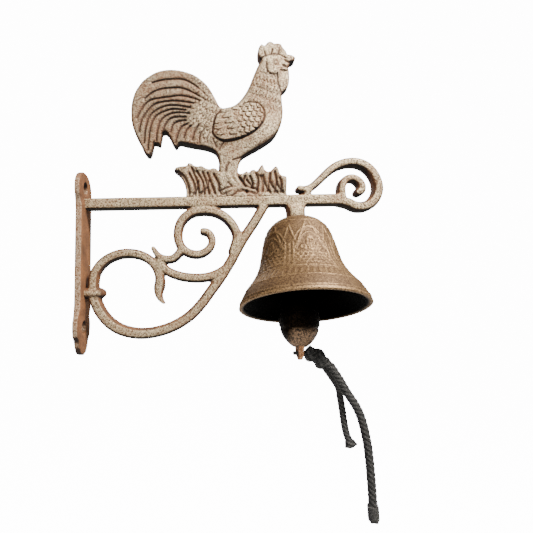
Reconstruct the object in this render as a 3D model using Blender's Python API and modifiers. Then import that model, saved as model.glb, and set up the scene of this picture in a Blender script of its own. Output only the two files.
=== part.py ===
"""Wall mounted bell: a cast iron scroll bracket with a rooster, a bell, its clapper and a pull cord.

Lengths are in millimetres and become metres where a mesh or a curve is made.
+X runs out from the wall along the arm, +Y runs to the bracket's rear side and +Z is up.
The origin is on the wall plate's back face, halfway between its two screw holes.
"""
import math

import bmesh
import bpy
from mathutils import Matrix, Vector

MM = 0.001
GAP = 0.3                      # air between neighbouring pieces
WELD = 0.00002                 # metres within which a curve's caps and sides are welded

# finishes: colour, roughness and metallic
IRON = ((0.36, 0.27, 0.20), 0.75, 0.5)
BRONZE = ((0.45, 0.32, 0.19), 0.6, 0.6)
STEEL = ((0.30, 0.28, 0.26), 0.5, 0.9)
COPPER = ((0.62, 0.34, 0.19), 0.5, 0.8)
ROPE = ((0.12, 0.12, 0.12), 0.95, 0.0)

# wall plate
PLATE_THICK = 5.5
PLATE_HALF_WIDTH = 12.5
EAR_HALF_WIDTH = 16.0
PLATE_TOP = 70.0
PLATE_BOTTOM = -77.5
SCREW_Z = 56.5                 # the screw holes stand at plus and minus this height
SCREW_R = 5.3

# casting
CAST_HALF = 5.0                # half the thickness of the arm and the scrolls
ARM_END = 216.0
ARM_TOP = 48.2
ARM_BOTTOM = 38.8

# bell and the bolt that holds it
BELL_X = 177.5
BOSS_BOTTOM = 27.6
BOSS_HALF_X = 7.4
BOSS_HALF_Y = 7.0
BOLT_R = 3.0
BOLT_TOP = 44.0
WASHER = (                     # (radius, height) of the cone washer between bell and nut
    (3.4, 19.7), (5.2, 19.0), (8.4, 18.0), (8.4, 17.2), (3.4, 17.2),
)
NUT_R = 5.8                    # over its corners
NUT_BOTTOM = 12.2
NUT_TOP = 16.9
PIVOT_Z = 23.0                 # middle of the crown, where the bell rocks on its bolt
BELL_TILT = 15.6               # degrees that the mouth is tipped to the front side
BELL_LEAN = 2.0                # degrees that the mouth leans towards the wall
CROWN_THICK = 4.0
CROWN_HOLE_R = 4.2
WALL_THICK = 3.5
BELL_OUTER = (                 # (radius, depth below the crown's top)
    (10.0, 0.0), (15.8, 1.4), (20.3, 4.2), (23.4, 7.8), (26.0, 13.0), (28.3, 22.0),
    (30.2, 32.0), (32.6, 42.0), (37.6, 52.0), (44.6, 61.8), (48.0, 68.8), (49.2, 72.4),
)

# clapper
CLAPPER_LEAN = 1.9             # degrees that it hangs towards the wall
EYE_R = 3.8                    # middle of the ring of each eye
EYE_WIRE = 1.4
BOLT_EYE_Z = 6.0
LINK_WIRE = 1.1
LINK_TOP = 5.0
LINK_BOTTOM = -7.0
LINK_HALF = 3.6
SHANK_R = 2.6
SHANK_EYE_Z = -8.0
WEIGHT_R = 16.2
WEIGHT_TOP = -30.0
WEIGHT_BOTTOM = -77.2
WEIGHT_NECK = (                # (radius, height) down to its widest part
    (5.5, -30.0), (9.5, -35.5), (13.4, -42.5), (15.6, -50.5),
)
TAB_HALF_X = 2.2
TAB_HALF_Y = 5.7
TAB_BOTTOM = -86.6
TAB_HOLE_Z = -81.2
TAB_HOLE_R = 3.2

# pull cord
CORD_R = 3.6
TAIL_R = 2.7
LOOP_R = 2.2
KNOT = ((0, 9.0), (4.2, 8.2), (7.4, 5.0), (8.6, 0.0), (7.8, -5.2), (5.4, -9.4), (0, -10.6))
KNOT_PLACE = (189.8, 2.6, -84.4)
KNOT_LEAN = 38.0               # degrees that its long axis leans from upright
END_KNOT = ((0, 5.6), (3.9, 5.6), (4.5, 4.0), (4.5, -4.2), (3.6, -6.2), (0, -6.6))
END_KNOT_PLACE = (225.3, 0.0, -202.8)
CORD_ROUTE = (                 # (x, y, z) from the knot down to the end knot
    (199.9, 0.0, -93.2), (202.4, 0.0, -97.2), (206.1, 0.0, -103.5), (211.1, 0.0, -112.9),
    (216.6, 0.0, -121.9), (219.9, 0.0, -129.2), (222.1, 0.0, -137.2), (223.7, 0.0, -146.3),
    (224.7, 0.0, -154.5), (225.2, 0.0, -164.2), (225.4, 0.0, -173.0), (225.5, 0.0, -181.8),
    (225.5, 0.0, -190.5), (225.4, 0.0, -196.8),
)
TAIL_ROUTE = (
    (197.6, 7.2, -95.2), (202.6, 8.2, -102.5), (207.2, 8.2, -110.5), (210.4, 7.8, -118.5),
    (211.8, 7.0, -127.5), (211.9, 6.2, -137.5), (212.4, 5.8, -146.2), (214.0, 5.4, -155.6),
)
LOOP_ROUTE = (
    (180.2, 0.3, -81.3), (178.4, 0.0, -81.2), (173.2, 0.0, -81.2), (170.8, 1.2, -81.3),
    (170.0, 4.2, -81.6), (170.8, 7.6, -82.0), (173.8, 9.0, -82.4), (177.4, 8.8, -82.8),
    (180.0, 8.0, -83.0),
)

# (x, z) points along the middle of each scroll, and its width at its start, middle and end
BRACE = (
    (149.6, 37.0), (143.3, 26.9), (137.6, 18.7), (132.0, 10.6), (127.2, 2.5), (122.6, -5.5),
    (117.5, -13.5), (112.0, -21.4), (105.6, -29.6), (97.5, -40.0), (88.3, -49.0), (76.4, -56.2),
    (63.0, -60.6), (49.0, -61.9), (35.5, -59.2), (25.2, -53.2), (17.5, -44.2), (13.0, -34.5),
)
BRACE_WIDTHS = (8.0, 8.4, 9.0)
SPIRAL = (
    (124.8, 5.5), (127.6, 13.0), (126.4, 20.0), (121.8, 27.3), (115.5, 32.6), (108.7, 35.4),
    (101.0, 36.3), (94.0, 35.6), (87.5, 32.6), (82.5, 27.3), (80.0, 20.2), (79.8, 13.2),
    (81.8, 7.2), (85.7, 2.8), (91.0, 0.4), (96.5, 0.0), (101.5, 1.8), (105.5, 5.4),
    (107.4, 10.3), (106.4, 15.0), (103.8, 18.0), (100.4, 18.8),
)
SPIRAL_WIDTHS = (6.4, 7.0, 4.4)
BRANCH = (
    (67.6, -10.2), (72.5, -14.0), (80.5, -17.2), (88.9, -18.8), (97.0, -19.2), (105.0, -18.2),
    (112.0, -15.6),
)
BRANCH_WIDTHS = (7.2, 7.4, 7.4)
UPPER_ARC = (
    (11.5, -24.0), (12.3, -15.7), (15.3, -9.2), (20.0, -4.1), (25.5, -0.7), (31.9, 1.5),
    (38.4, 2.2), (44.8, 1.6), (51.0, -0.3), (56.5, -3.6), (61.0, -8.5), (63.7, -14.6),
    (64.5, -21.0), (63.9, -27.3), (63.4, -31.2), (64.6, -35.0), (67.0, -37.8),
)
UPPER_ARC_WIDTHS = (7.6, 7.4, 5.0)
SMALL_SCROLL = ((60.6, 4.4), (62.8, 0.6), (67.0, -2.6), (72.4, -3.6), (77.0, -2.0), (80.6, 1.6))
SMALL_WIDTHS = (4.0, 5.4, 5.6)
END_SCROLL = (
    (216.3, 42.4), (222.0, 40.2), (226.2, 37.6), (231.0, 36.4), (236.2, 37.2), (241.2, 40.0),
    (245.2, 44.4), (247.6, 49.6), (248.2, 55.0), (247.0, 61.0), (244.4, 66.4), (240.6, 70.8),
    (235.6, 74.0), (229.6, 75.5), (223.4, 75.4), (217.0, 73.8), (211.0, 70.9), (205.4, 66.6),
    (200.0, 61.6), (195.2, 57.3), (190.4, 53.9), (185.2, 52.2), (180.4, 52.6),
)
END_WIDTHS = (8.6, 8.2, 6.0)
END_CURL = (
    (216.9, 48.2), (217.0, 52.5), (218.2, 56.7), (221.2, 60.3), (225.5, 61.8), (229.8, 60.8),
    (232.6, 58.2), (234.2, 54.6), (233.6, 51.2), (231.4, 49.4),
)
CURL_WIDTHS = (6.8, 6.4, 7.6)
COLLAR = (
    (6.0, -24.6), (16.4, -24.8), (18.0, -26.4), (20.8, -28.0), (21.6, -30.0), (20.0, -31.8),
    (18.4, -32.6), (17.2, -34.2), (6.0, -34.4),
)
COLLAR_HALF = 6.5
COLLAR_REACH = 22.0            # how far from the wall the collar keeps the scrolls off
COLLAR_TOP = -24.6
COLLAR_BOTTOM = -34.4

# rooster's outline in (x, z): comb, beak, breast, foot, tail and back
ROOSTER = (
    (153.5, 167.9), (151.5, 172.6), (152.0, 179.2), (155.1, 183.5), (157.4, 181.6), (160.0, 184.6),
    (163.1, 185.8), (166.1, 183.7), (169.2, 184.0), (171.9, 183.4), (173.5, 180.0), (176.0, 176.7),
    (177.1, 173.4), (180.2, 173.0), (184.0, 170.0), (182.1, 166.8), (178.9, 164.9), (177.4, 162.1),
    (177.8, 155.6), (177.3, 147.2), (175.4, 142.4), (172.2, 139.2), (170.2, 136.4), (170.2, 128.8),
    (170.6, 121.5), (169.9, 115.2), (168.3, 108.9), (165.4, 102.6), (160.8, 96.9), (154.7, 92.5),
    (148.5, 88.8), (141.5, 84.9), (135.5, 81.4), (132.8, 78.2), (131.4, 73.9), (130.4, 69.8),
    (128.6, 66.4), (117.4, 66.4), (114.6, 72.0), (115.0, 77.6), (114.3, 82.0), (112.3, 85.6),
    (108.2, 88.1), (102.7, 89.7), (95.1, 91.4), (88.4, 92.8), (83.4, 94.2), (81.6, 93.4),
    (79.9, 90.3), (78.1, 91.6), (76.2, 94.9), (74.6, 99.0), (72.5, 102.5), (70.4, 104.2),
    (68.4, 102.8), (67.4, 98.6), (66.1, 92.6), (63.6, 93.8), (61.0, 94.7), (60.2, 90.8),
    (58.9, 85.8), (57.2, 83.1), (55.0, 84.0), (52.2, 88.3), (49.7, 94.0), (46.6, 100.2),
    (44.3, 106.0), (42.6, 113.1), (42.2, 121.2), (42.7, 129.3), (44.8, 137.4), (48.2, 144.2),
    (52.5, 149.7), (57.7, 153.8), (63.7, 157.2), (70.6, 159.0), (77.5, 159.3), (84.4, 158.4),
    (91.3, 156.2), (97.3, 153.2), (103.2, 148.6), (108.1, 142.7), (111.9, 135.8), (114.6, 129.9),
    (116.8, 125.6), (120.0, 124.0), (125.0, 124.8), (130.2, 127.4), (134.7, 131.5), (139.3, 137.9),
    (143.0, 144.7), (146.3, 152.6), (149.7, 160.4), (152.2, 165.4),
)
# grass in (x, z), from its left foot over the blades to its right foot
GRASS = (
    (87.1, 48.5), (86.8, 54.7), (85.3, 60.8), (82.4, 66.0), (79.0, 69.0), (77.3, 70.8), (78.8, 73.0),
    (82.2, 73.9), (86.3, 74.2), (88.3, 74.6), (88.9, 76.8), (92.3, 76.2), (93.9, 74.5), (97.2, 73.6),
    (99.8, 74.4), (103.9, 71.9), (107.3, 71.2), (109.8, 72.2), (112.4, 71.4), (116.6, 66.1),
    (129.2, 66.1), (131.8, 66.6), (135.0, 67.4), (137.5, 69.0), (140.0, 67.2), (140.9, 69.4),
    (144.4, 70.2), (146.0, 68.4), (148.7, 72.3), (151.3, 74.4), (152.8, 70.0), (155.3, 68.2),
    (157.9, 69.1), (159.7, 70.8), (162.3, 73.0), (164.3, 70.7), (165.4, 66.3), (167.0, 64.8),
    (170.8, 63.8), (171.1, 61.0), (170.2, 48.5),
)
ROOSTER_HALF = 4.0
GRASS_HALF = 4.6
BODY_CENTRE = (139.0, 110.0)
BODY_RADII = (27.0, 8.0, 20.0)
BODY_LEAN = 32.0               # degrees that the body's long axis rises to the breast

STEP = 5.0                     # spacing of the points along a scroll


def clear_scene():
    """Removes every object and empties the collections' leftovers."""
    for old in list(bpy.data.objects):
        bpy.data.objects.remove(old, do_unlink=True)


def collection(name):
    """A new collection linked to the scene."""
    made = bpy.data.collections.new(name)
    bpy.context.scene.collection.children.link(made)
    return made


def material(name, colour, roughness, metallic):
    """A Principled BSDF material."""
    made = bpy.data.materials.new(name)
    made.use_nodes = True
    shader = made.node_tree.nodes["Principled BSDF"]
    shader.inputs["Base Color"].default_value = (*colour, 1.0)
    shader.inputs["Roughness"].default_value = roughness
    shader.inputs["Metallic"].default_value = metallic
    return made


def add(name, data, into, finish=None):
    """An object of the mesh or curve in a collection, with its own material."""
    made = bpy.data.objects.new(name, data)
    into.objects.link(made)
    if finish:
        data.materials.append(material(name, *finish))
    return made


def as_cutter(made):
    """Marks an object as a tool that is never built or rendered."""
    made.hide_render = True
    made.display_type = "WIRE"
    return made


def evaluated_mesh(source, name):
    """A curve's closed mesh in world space. The curve is removed and its loose caps are welded."""
    bpy.context.view_layer.update()
    graph = bpy.context.evaluated_depsgraph_get()
    mesh = bpy.data.meshes.new_from_object(source.evaluated_get(graph))
    mesh.transform(source.matrix_world)
    mesh.name = name
    bpy.data.objects.remove(source, do_unlink=True)
    work = bmesh.new()
    work.from_mesh(mesh)
    bmesh.ops.remove_doubles(work, verts=work.verts, dist=WELD)
    bmesh.ops.recalc_face_normals(work, faces=work.faces)
    work.to_mesh(mesh)
    work.free()
    mesh.materials.clear()
    return mesh


def smooth_path(points, step=STEP):
    """Points about a step apart on the Catmull-Rom curve through the given ones."""
    knots = [Vector(p) for p in points]
    knots = [2 * knots[0] - knots[1], *knots, 2 * knots[-1] - knots[-2]]
    path = []
    for i in range(1, len(knots) - 2):
        p0, p1, p2, p3 = knots[i - 1:i + 3]
        pieces = max(1, round((p2 - p1).length / step))
        for j in range(pieces):
            t = j / pieces
            path.append(0.5 * (2 * p1 + (p2 - p0) * t + (2 * p0 - 5 * p1 + 4 * p2 - p3) * t ** 2
                               + (3 * p1 - p0 - 3 * p2 + p3) * t ** 3))
    path.append(knots[-2])
    return path


def width_at(widths, share):
    """A band's width at a share of the way along: from the first over the middle to the last."""
    first, middle, last = widths
    if share < 0.5:
        return first + (middle - first) * 2 * share
    return middle + (last - middle) * (2 * share - 1)


def ribbon(points, widths, grow=0.0):
    """The outline of a band along a path, with a rounded tip, grown by some air to each side."""
    path = smooth_path(points)
    last = len(path) - 1
    left, right = [], []
    for i, here in enumerate(path):
        along = (path[min(i + 1, last)] - path[max(i - 1, 0)]).normalized()
        across = Vector((-along.y, along.x))
        half = width_at(widths, i / last) / 2 + grow
        left.append(here + across * half)
        right.append(here - across * half)
        if i == last:
            tip = [here + along * half * 0.8 * math.sin(a) + across * half * math.cos(a)
                   for a in (math.pi / 4, math.pi / 2, 3 * math.pi / 4)]
    return [*left, *tip, *reversed(right)]


def circle(centre, radius, count=20):
    """A ring of points."""
    return [Vector((centre[0] + radius * math.cos(2 * math.pi * i / count),
                    centre[1] + radius * math.sin(2 * math.pi * i / count))) for i in range(count)]


def flat_curve(name, outlines, half, into):
    """A filled 2D curve of the outlines, extruded by half to each side of its own plane."""
    curve = bpy.data.curves.new(name, "CURVE")
    curve.dimensions = "2D"
    curve.fill_mode = "BOTH"
    curve.extrude = half * MM
    for outline in outlines:
        spline = curve.splines.new("POLY")
        spline.points.add(len(outline) - 1)
        for point, place in zip(spline.points, outline):
            point.co = (place[0] * MM, place[1] * MM, 0, 1)
        spline.use_cyclic_u = True
    return add(name, curve, into)


def side_solid(name, outlines, half, into, finish=None):
    """A closed body whose (x, z) outlines stand in the bracket's plane, half to each side of it."""
    flat = flat_curve(name, outlines, half, into)
    flat.rotation_euler = (math.pi / 2, 0, 0)
    return add(name, evaluated_mesh(flat, name), into, finish)


def boolean(target, cutter, operation="DIFFERENCE"):
    """A Boolean that stays on the object."""
    made = target.modifiers.new(operation.lower(), "BOOLEAN")
    made.operation = operation
    made.solver = "EXACT"
    made.object = cutter
    return made


def smooth(target, angle=35):
    """Smooth shading with sharp edges kept."""
    target.data.shade_smooth()
    target.data.set_sharp_from_angle(angle=math.radians(angle))


def box(name, low, high, into, finish=None):
    """A box between two corners, with its origin at its middle."""
    mesh = bpy.data.meshes.new(name)
    work = bmesh.new()
    bmesh.ops.create_cube(work, size=1.0)
    size = [(b - a) * MM for a, b in zip(low, high)]
    bmesh.ops.scale(work, vec=size, verts=work.verts)
    work.to_mesh(mesh)
    work.free()
    made = add(name, mesh, into, finish)
    made.location = [(a + b) / 2 * MM for a, b in zip(low, high)]
    return made


def upright_rod(name, radius, low, high, into, finish=None, sides=16):
    """A cylinder on the bell bolt's axis, from one height to another."""
    mesh = bpy.data.meshes.new(name)
    work = bmesh.new()
    bmesh.ops.create_cone(work, cap_ends=True, segments=sides, radius1=radius * MM, radius2=radius * MM,
                          depth=(high - low) * MM)
    work.to_mesh(mesh)
    work.free()
    made = add(name, mesh, into, finish)
    made.location = (BELL_X * MM, 0, (low + high) / 2 * MM)
    return made


def turned(name, profile, into, finish=None, steps=32, closed=False):
    """A profile of (radius, height) turned about its object's Z axis."""
    mesh = bpy.data.meshes.new(name)
    edges = [(i, i + 1) for i in range(len(profile) - 1)]
    if closed:
        edges.append((len(profile) - 1, 0))
    mesh.from_pydata([(r * MM, 0, h * MM) for r, h in profile], edges, [])
    made = add(name, mesh, into, finish)
    screw = made.modifiers.new("turn", "SCREW")
    screw.steps = screw.render_steps = steps
    screw.use_merge_vertices = True
    screw.merge_threshold = 0.00005
    screw.use_smooth_shade = True
    return made


def tube(name, points, radius, into, finish=None, step=None, cyclic=False, resolution=2):
    """A round bar or cord along a smooth curve through the points."""
    path = smooth_path(points, step) if step else [Vector(p) for p in points]
    curve = bpy.data.curves.new(name, "CURVE")
    curve.dimensions = "3D"
    curve.bevel_depth = radius * MM
    curve.bevel_resolution = resolution
    curve.use_fill_caps = True
    spline = curve.splines.new("POLY")
    spline.points.add(len(path) - 1)
    for point, place in zip(spline.points, path):
        point.co = (*(place * MM), 1)
    spline.use_cyclic_u = cyclic
    return add(name, curve, into, finish)


def plate_outline():
    """Half of the wall plate in (y, z) from the top round the rear ear edges, mirrored to the front."""
    ear, strip = EAR_HALF_WIDTH, PLATE_HALF_WIDTH
    half = (
        (0, PLATE_TOP), (6.5, PLATE_TOP - 0.8), (11.5, PLATE_TOP - 3.8), (14.8, PLATE_TOP - 8.6),
        (ear, SCREW_Z), (15.2, SCREW_Z - 6.5), (13.2, SCREW_Z - 12), (strip, SCREW_Z - 18),
        (strip, -SCREW_Z + 18), (13.4, -SCREW_Z + 11), (15.6, -SCREW_Z + 5), (ear, -SCREW_Z),
        (14.6, -SCREW_Z - 6), (11.2, -SCREW_Z - 10), (9.6, -SCREW_Z - 14.5), (6.2, PLATE_BOTTOM + 2),
        (0, PLATE_BOTTOM),
    )
    return [*half, *[(-y, z) for y, z in reversed(half[1:-1])]]


def wall_plate(parts):
    """The plate with its two ears and their screw holes, flat against the wall."""
    outlines = [plate_outline(), circle((0, SCREW_Z), SCREW_R), circle((0, -SCREW_Z), SCREW_R)]
    flat = flat_curve("wall_plate", outlines, PLATE_THICK / 2, parts)
    flat.rotation_euler = (math.pi / 2, 0, math.pi / 2)
    flat.location.x = PLATE_THICK / 2 * MM
    return add("wall_plate", evaluated_mesh(flat, "wall_plate"), parts, IRON)


def casting(parts, tools):
    """The arm, its boss and every scroll, each cut back where it meets the next."""
    def cutter(name, outline):
        return as_cutter(side_solid(name + "_cutter", [outline], 2 * CAST_HALF, tools))

    def member(name, points, widths, cuts=()):
        made = side_solid(name, [ribbon(points, widths)], CAST_HALF, parts, IRON)
        for tool in cuts:
            boolean(made, tool)
        smooth(made)
        return made

    def room(name, low, high):
        """A cutter over a rectangle in (x, z), with air round it."""
        (x0, z0), (x1, z1) = (low[0] - GAP, low[1] - GAP), (high[0] + GAP, high[1] + GAP)
        return cutter(name, [(x0, z0), (x1, z0), (x1, z1), (x0, z1)])

    near_plate = room("plate", (-PLATE_THICK, PLATE_BOTTOM), (PLATE_THICK, PLATE_TOP))
    near_arm = room("arm", (0, ARM_BOTTOM), (ARM_END, ARM_TOP))
    near_collar = room("collar", (0, COLLAR_BOTTOM), (COLLAR_REACH, COLLAR_TOP))
    near_brace = cutter("brace", ribbon(BRACE, BRACE_WIDTHS, GAP))
    near_arc = cutter("upper_arc", ribbon(UPPER_ARC, UPPER_ARC_WIDTHS, GAP))
    near_spiral = cutter("spiral", ribbon(SPIRAL, SPIRAL_WIDTHS, GAP))
    near_branch = cutter("branch", ribbon(BRANCH, BRANCH_WIDTHS, GAP))
    near_end = cutter("end_scroll", ribbon(END_SCROLL, END_WIDTHS, GAP))

    arm = box("arm", (PLATE_THICK + GAP, -CAST_HALF, ARM_BOTTOM), (ARM_END, CAST_HALF, ARM_TOP), parts, IRON)
    boolean(arm, bolt_hole("arm_drill", tools))
    member("brace", BRACE, BRACE_WIDTHS, (near_arm, near_collar, near_plate))
    member("spiral_scroll", SPIRAL, SPIRAL_WIDTHS, (near_arm, near_brace))
    member("upper_arc", UPPER_ARC, UPPER_ARC_WIDTHS, (near_collar, near_plate))
    member("lower_branch", BRANCH, BRANCH_WIDTHS, (near_arc, near_brace))
    member("small_scroll", SMALL_SCROLL, SMALL_WIDTHS, (near_arc, near_branch, near_spiral))
    member("end_scroll", END_SCROLL, END_WIDTHS, (near_arm,))
    member("end_curl", END_CURL, CURL_WIDTHS, (near_arm, near_end))
    side_solid("collar", [COLLAR], COLLAR_HALF, parts, IRON)


def bolt_hole(name, tools):
    """A drill on the bolt's axis, as deep as the bolt reaches, with air round it."""
    return as_cutter(upright_rod(name, BOLT_R + GAP, 0, BOLT_TOP + GAP, tools))


def bell_boss(parts, tools):
    """The square boss under the arm, drilled for the bell's bolt."""
    made = box("bell_boss", (BELL_X - BOSS_HALF_X, -BOSS_HALF_Y, BOSS_BOTTOM),
               (BELL_X + BOSS_HALF_X, BOSS_HALF_Y, ARM_BOTTOM - GAP), parts, IRON)
    boolean(made, bolt_hole("boss_drill", tools))


def rooster(parts, tools):
    """The rooster with its swelling body, and the tuft of grass that it stands in."""
    bird = side_solid("rooster", [ROOSTER], ROOSTER_HALF, parts, IRON)
    mesh = bpy.data.meshes.new("body")
    work = bmesh.new()
    bmesh.ops.create_uvsphere(work, u_segments=16, v_segments=10, radius=1.0)
    bmesh.ops.scale(work, vec=[r * MM for r in BODY_RADII], verts=work.verts)
    work.to_mesh(mesh)
    work.free()
    body = as_cutter(add("body_joiner", mesh, tools))
    body.rotation_euler.y = -math.radians(BODY_LEAN)
    body.location = (BODY_CENTRE[0] * MM, 0, BODY_CENTRE[1] * MM)
    boolean(bird, body, "UNION")
    smooth(bird)
    side_solid("grass_tuft", [GRASS], GRASS_HALF, parts, IRON)


def hanger(parts, tools):
    """The bolt with its lower eye, the cone washer and the nut that carry the bell."""
    bolt = upright_rod("hanger_bolt", BOLT_R, BOLT_EYE_Z + EYE_R, BOLT_TOP, parts, STEEL)
    ring_y("bolt_eye", BOLT_EYE_Z, bolt, tools)
    washer = turned("cone_washer", WASHER, parts, STEEL, steps=20, closed=True)
    washer.location.x = BELL_X * MM
    nut = upright_rod("bell_nut", NUT_R, NUT_BOTTOM, NUT_TOP, parts, STEEL, sides=6)
    boolean(nut, bolt_hole("nut_drill", tools))


def ring_y(name, height, target, tools):
    """Joins an eye, a ring whose hole runs along Y, to the target."""
    bpy.ops.mesh.primitive_torus_add(major_segments=16, minor_segments=8, major_radius=EYE_R * MM,
                                     minor_radius=EYE_WIRE * MM, location=(BELL_X * MM, 0, height * MM),
                                     rotation=(math.pi / 2, 0, 0))
    eye = bpy.context.active_object
    eye.name = name
    for old in list(eye.users_collection):
        old.objects.unlink(eye)
    tools.objects.link(as_cutter(eye))
    boolean(target, eye, "UNION")
    return eye


def bell_profile():
    """The bell's wall as a closed loop: down the outside, round the lip and up the inside."""
    outer = smooth_path(BELL_OUTER, 6.0)
    inner = []
    for i in range(2, len(outer)):
        along = (outer[min(i + 1, len(outer) - 1)] - outer[i - 1]).normalized()
        inner.append(outer[i] + Vector((-along.y, along.x)) * WALL_THICK)
    inner = [p for p in inner if p.y > CROWN_THICK + 1.0 and p.x > CROWN_HOLE_R]
    inner[-1].y = outer[-1].y - 0.8
    ceiling = (inner[0].x - 5.0, CROWN_THICK)
    loop = [(CROWN_HOLE_R, 0), *outer, *reversed(inner), ceiling, (CROWN_HOLE_R, CROWN_THICK)]
    return [(r, CROWN_THICK / 2 - depth) for r, depth in loop]


def bell(parts):
    """The bell, tipped on its bolt. Its origin is the middle of the crown."""
    pivot = bpy.data.objects.new("bell_pivot", None)
    parts.objects.link(pivot)
    pivot.location = (BELL_X * MM, 0, PIVOT_Z * MM)
    pivot.rotation_euler = (-math.radians(BELL_TILT), math.radians(BELL_LEAN), 0)
    made = turned("bell", bell_profile(), parts, BRONZE, closed=True)
    made.parent = pivot


def clapper(parts, tools):
    """The link, the shank with its eye, the weight and the flat lower eye that takes the cord."""
    link = tube("clapper_link", link_path(), LINK_WIRE, parts, STEEL, cyclic=True)
    link.data.use_fill_caps = False
    shank = upright_rod("clapper_shank", SHANK_R, WEIGHT_TOP + GAP, SHANK_EYE_Z - EYE_R,
                        parts, STEEL, sides=12)
    eye = ring_y("shank_eye", SHANK_EYE_Z, shank, tools)

    widest = WEIGHT_BOTTOM + WEIGHT_R
    bottom = [(WEIGHT_R * math.cos(a), widest - WEIGHT_R * math.sin(a))
              for a in [math.radians(d) for d in (0, 18, 36, 54, 72, 90)]]
    profile = [(0, WEIGHT_TOP), *WEIGHT_NECK, *bottom[:-1], (0, WEIGHT_BOTTOM)]
    weight = turned("clapper_weight", profile, parts, IRON, steps=20)
    weight.location.x = BELL_X * MM
    lean((shank, eye, weight, cord_eye(parts)), parts)


def lean(pieces, parts):
    """Hangs the clapper's pieces, made upright, from an empty on the link that leans to the wall."""
    bpy.context.view_layer.update()
    pivot = bpy.data.objects.new("clapper_pivot", None)
    parts.objects.link(pivot)
    pivot.location = (BELL_X * MM, 0, LINK_BOTTOM * MM)
    for piece in pieces:
        piece.parent = pivot
        piece.matrix_parent_inverse = Matrix.Translation(pivot.location).inverted()
    pivot.rotation_euler.y = math.radians(CLAPPER_LEAN)


def link_path():
    """The oval link's middle line: two half rings with a straight run between them."""
    middle = (LINK_TOP + LINK_BOTTOM) / 2
    straight = (LINK_TOP - LINK_BOTTOM) / 2 - LINK_HALF
    count = 20
    path = []
    for i in range(count):
        turn = 2 * math.pi * i / count
        side = 0 if i % (count // 2) == 0 else math.copysign(straight, math.sin(turn))
        path.append((BELL_X, LINK_HALF * math.cos(turn), middle + side + LINK_HALF * math.sin(turn)))
    return path


def cord_eye(parts):
    """The flat eye under the clapper's weight, whose hole runs along X."""
    tab_top = WEIGHT_BOTTOM - GAP
    drop = TAB_HOLE_Z - TAB_BOTTOM
    outline = [(-TAB_HALF_Y, tab_top), (-TAB_HALF_Y, TAB_HOLE_Z)]
    for turn in [math.radians(d) for d in (30, 60, 90, 120, 150)]:
        outline.append((-TAB_HALF_Y * math.cos(turn), TAB_HOLE_Z - drop * math.sin(turn)))
    outline += [(TAB_HALF_Y, TAB_HOLE_Z), (TAB_HALF_Y, tab_top)]
    flat = flat_curve("cord_eye", [outline, circle((0, TAB_HOLE_Z), TAB_HOLE_R, 14)], TAB_HALF_X, parts)
    flat.rotation_euler = (math.pi / 2, 0, math.pi / 2)
    flat.location.x = BELL_X * MM
    return add("cord_eye", evaluated_mesh(flat, "cord_eye"), parts, COPPER)


def cord(parts):
    """The loop through the eye, the knot, the long pull cord with its end knot, and the short tail."""
    tube("cord_loop", LOOP_ROUTE, LOOP_R, parts, ROPE, step=4.0)
    tube("pull_cord", CORD_ROUTE, CORD_R, parts, ROPE, step=9.0)
    tube("cord_short_tail", TAIL_ROUTE, TAIL_R, parts, ROPE, step=8.0)
    knot = turned("cord_knot", KNOT, parts, ROPE, steps=14)
    knot.rotation_euler.y = -math.radians(KNOT_LEAN)
    knot.location = Vector(KNOT_PLACE) * MM
    stop = turned("cord_end_knot", END_KNOT, parts, ROPE, steps=12)
    stop.location = Vector(END_KNOT_PLACE) * MM


def main():
    """Builds every piece of the bell."""
    clear_scene()
    parts = collection("wall_mounted_bell")
    tools = collection("cutters")
    wall_plate(parts)
    casting(parts, tools)
    bell_boss(parts, tools)
    rooster(parts, tools)
    hanger(parts, tools)
    bell(parts)
    clapper(parts, tools)
    cord(parts)


main()
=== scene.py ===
"""Looks of the wall mounted bell: cast bracket with its rooster, bronze bell, clapper and pull cord.

Lengths are in millimetres in the frame's own axes and become metres where a mesh is made.
"""

import logging
import math
from dataclasses import dataclass
from enum import Enum
from typing import Callable, Iterable, Sequence

import bmesh
import bpy
import numpy as np
from mathutils import Matrix, Vector
from mathutils.kdtree import KDTree


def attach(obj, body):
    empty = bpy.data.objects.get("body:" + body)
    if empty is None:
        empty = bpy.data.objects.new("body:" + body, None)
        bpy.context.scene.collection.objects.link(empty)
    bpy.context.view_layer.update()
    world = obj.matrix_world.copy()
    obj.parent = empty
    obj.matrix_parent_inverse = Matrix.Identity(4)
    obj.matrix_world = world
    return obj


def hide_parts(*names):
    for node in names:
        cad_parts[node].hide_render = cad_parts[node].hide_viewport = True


MM = 0.001
LOG = logging.getLogger("wall_bell")

Point2 = tuple[float, float]
Point3 = tuple[float, float, float]
Colour = tuple[float, float, float]

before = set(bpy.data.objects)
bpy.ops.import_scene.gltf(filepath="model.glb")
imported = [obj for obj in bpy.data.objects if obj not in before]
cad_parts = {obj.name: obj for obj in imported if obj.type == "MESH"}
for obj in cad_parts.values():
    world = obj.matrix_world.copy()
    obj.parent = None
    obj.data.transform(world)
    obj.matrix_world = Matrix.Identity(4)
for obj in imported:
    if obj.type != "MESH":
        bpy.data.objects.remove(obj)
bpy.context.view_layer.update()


class Body(str, Enum):
    """The moving bodies that a piece can ride on."""

    BRACKET = "bracket"
    BELL = "bell"
    LINK = "link"
    CLAPPER = "clapper"
    CORD = "cord"


# ---------------------------------------------------------------- curves and meshes


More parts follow.
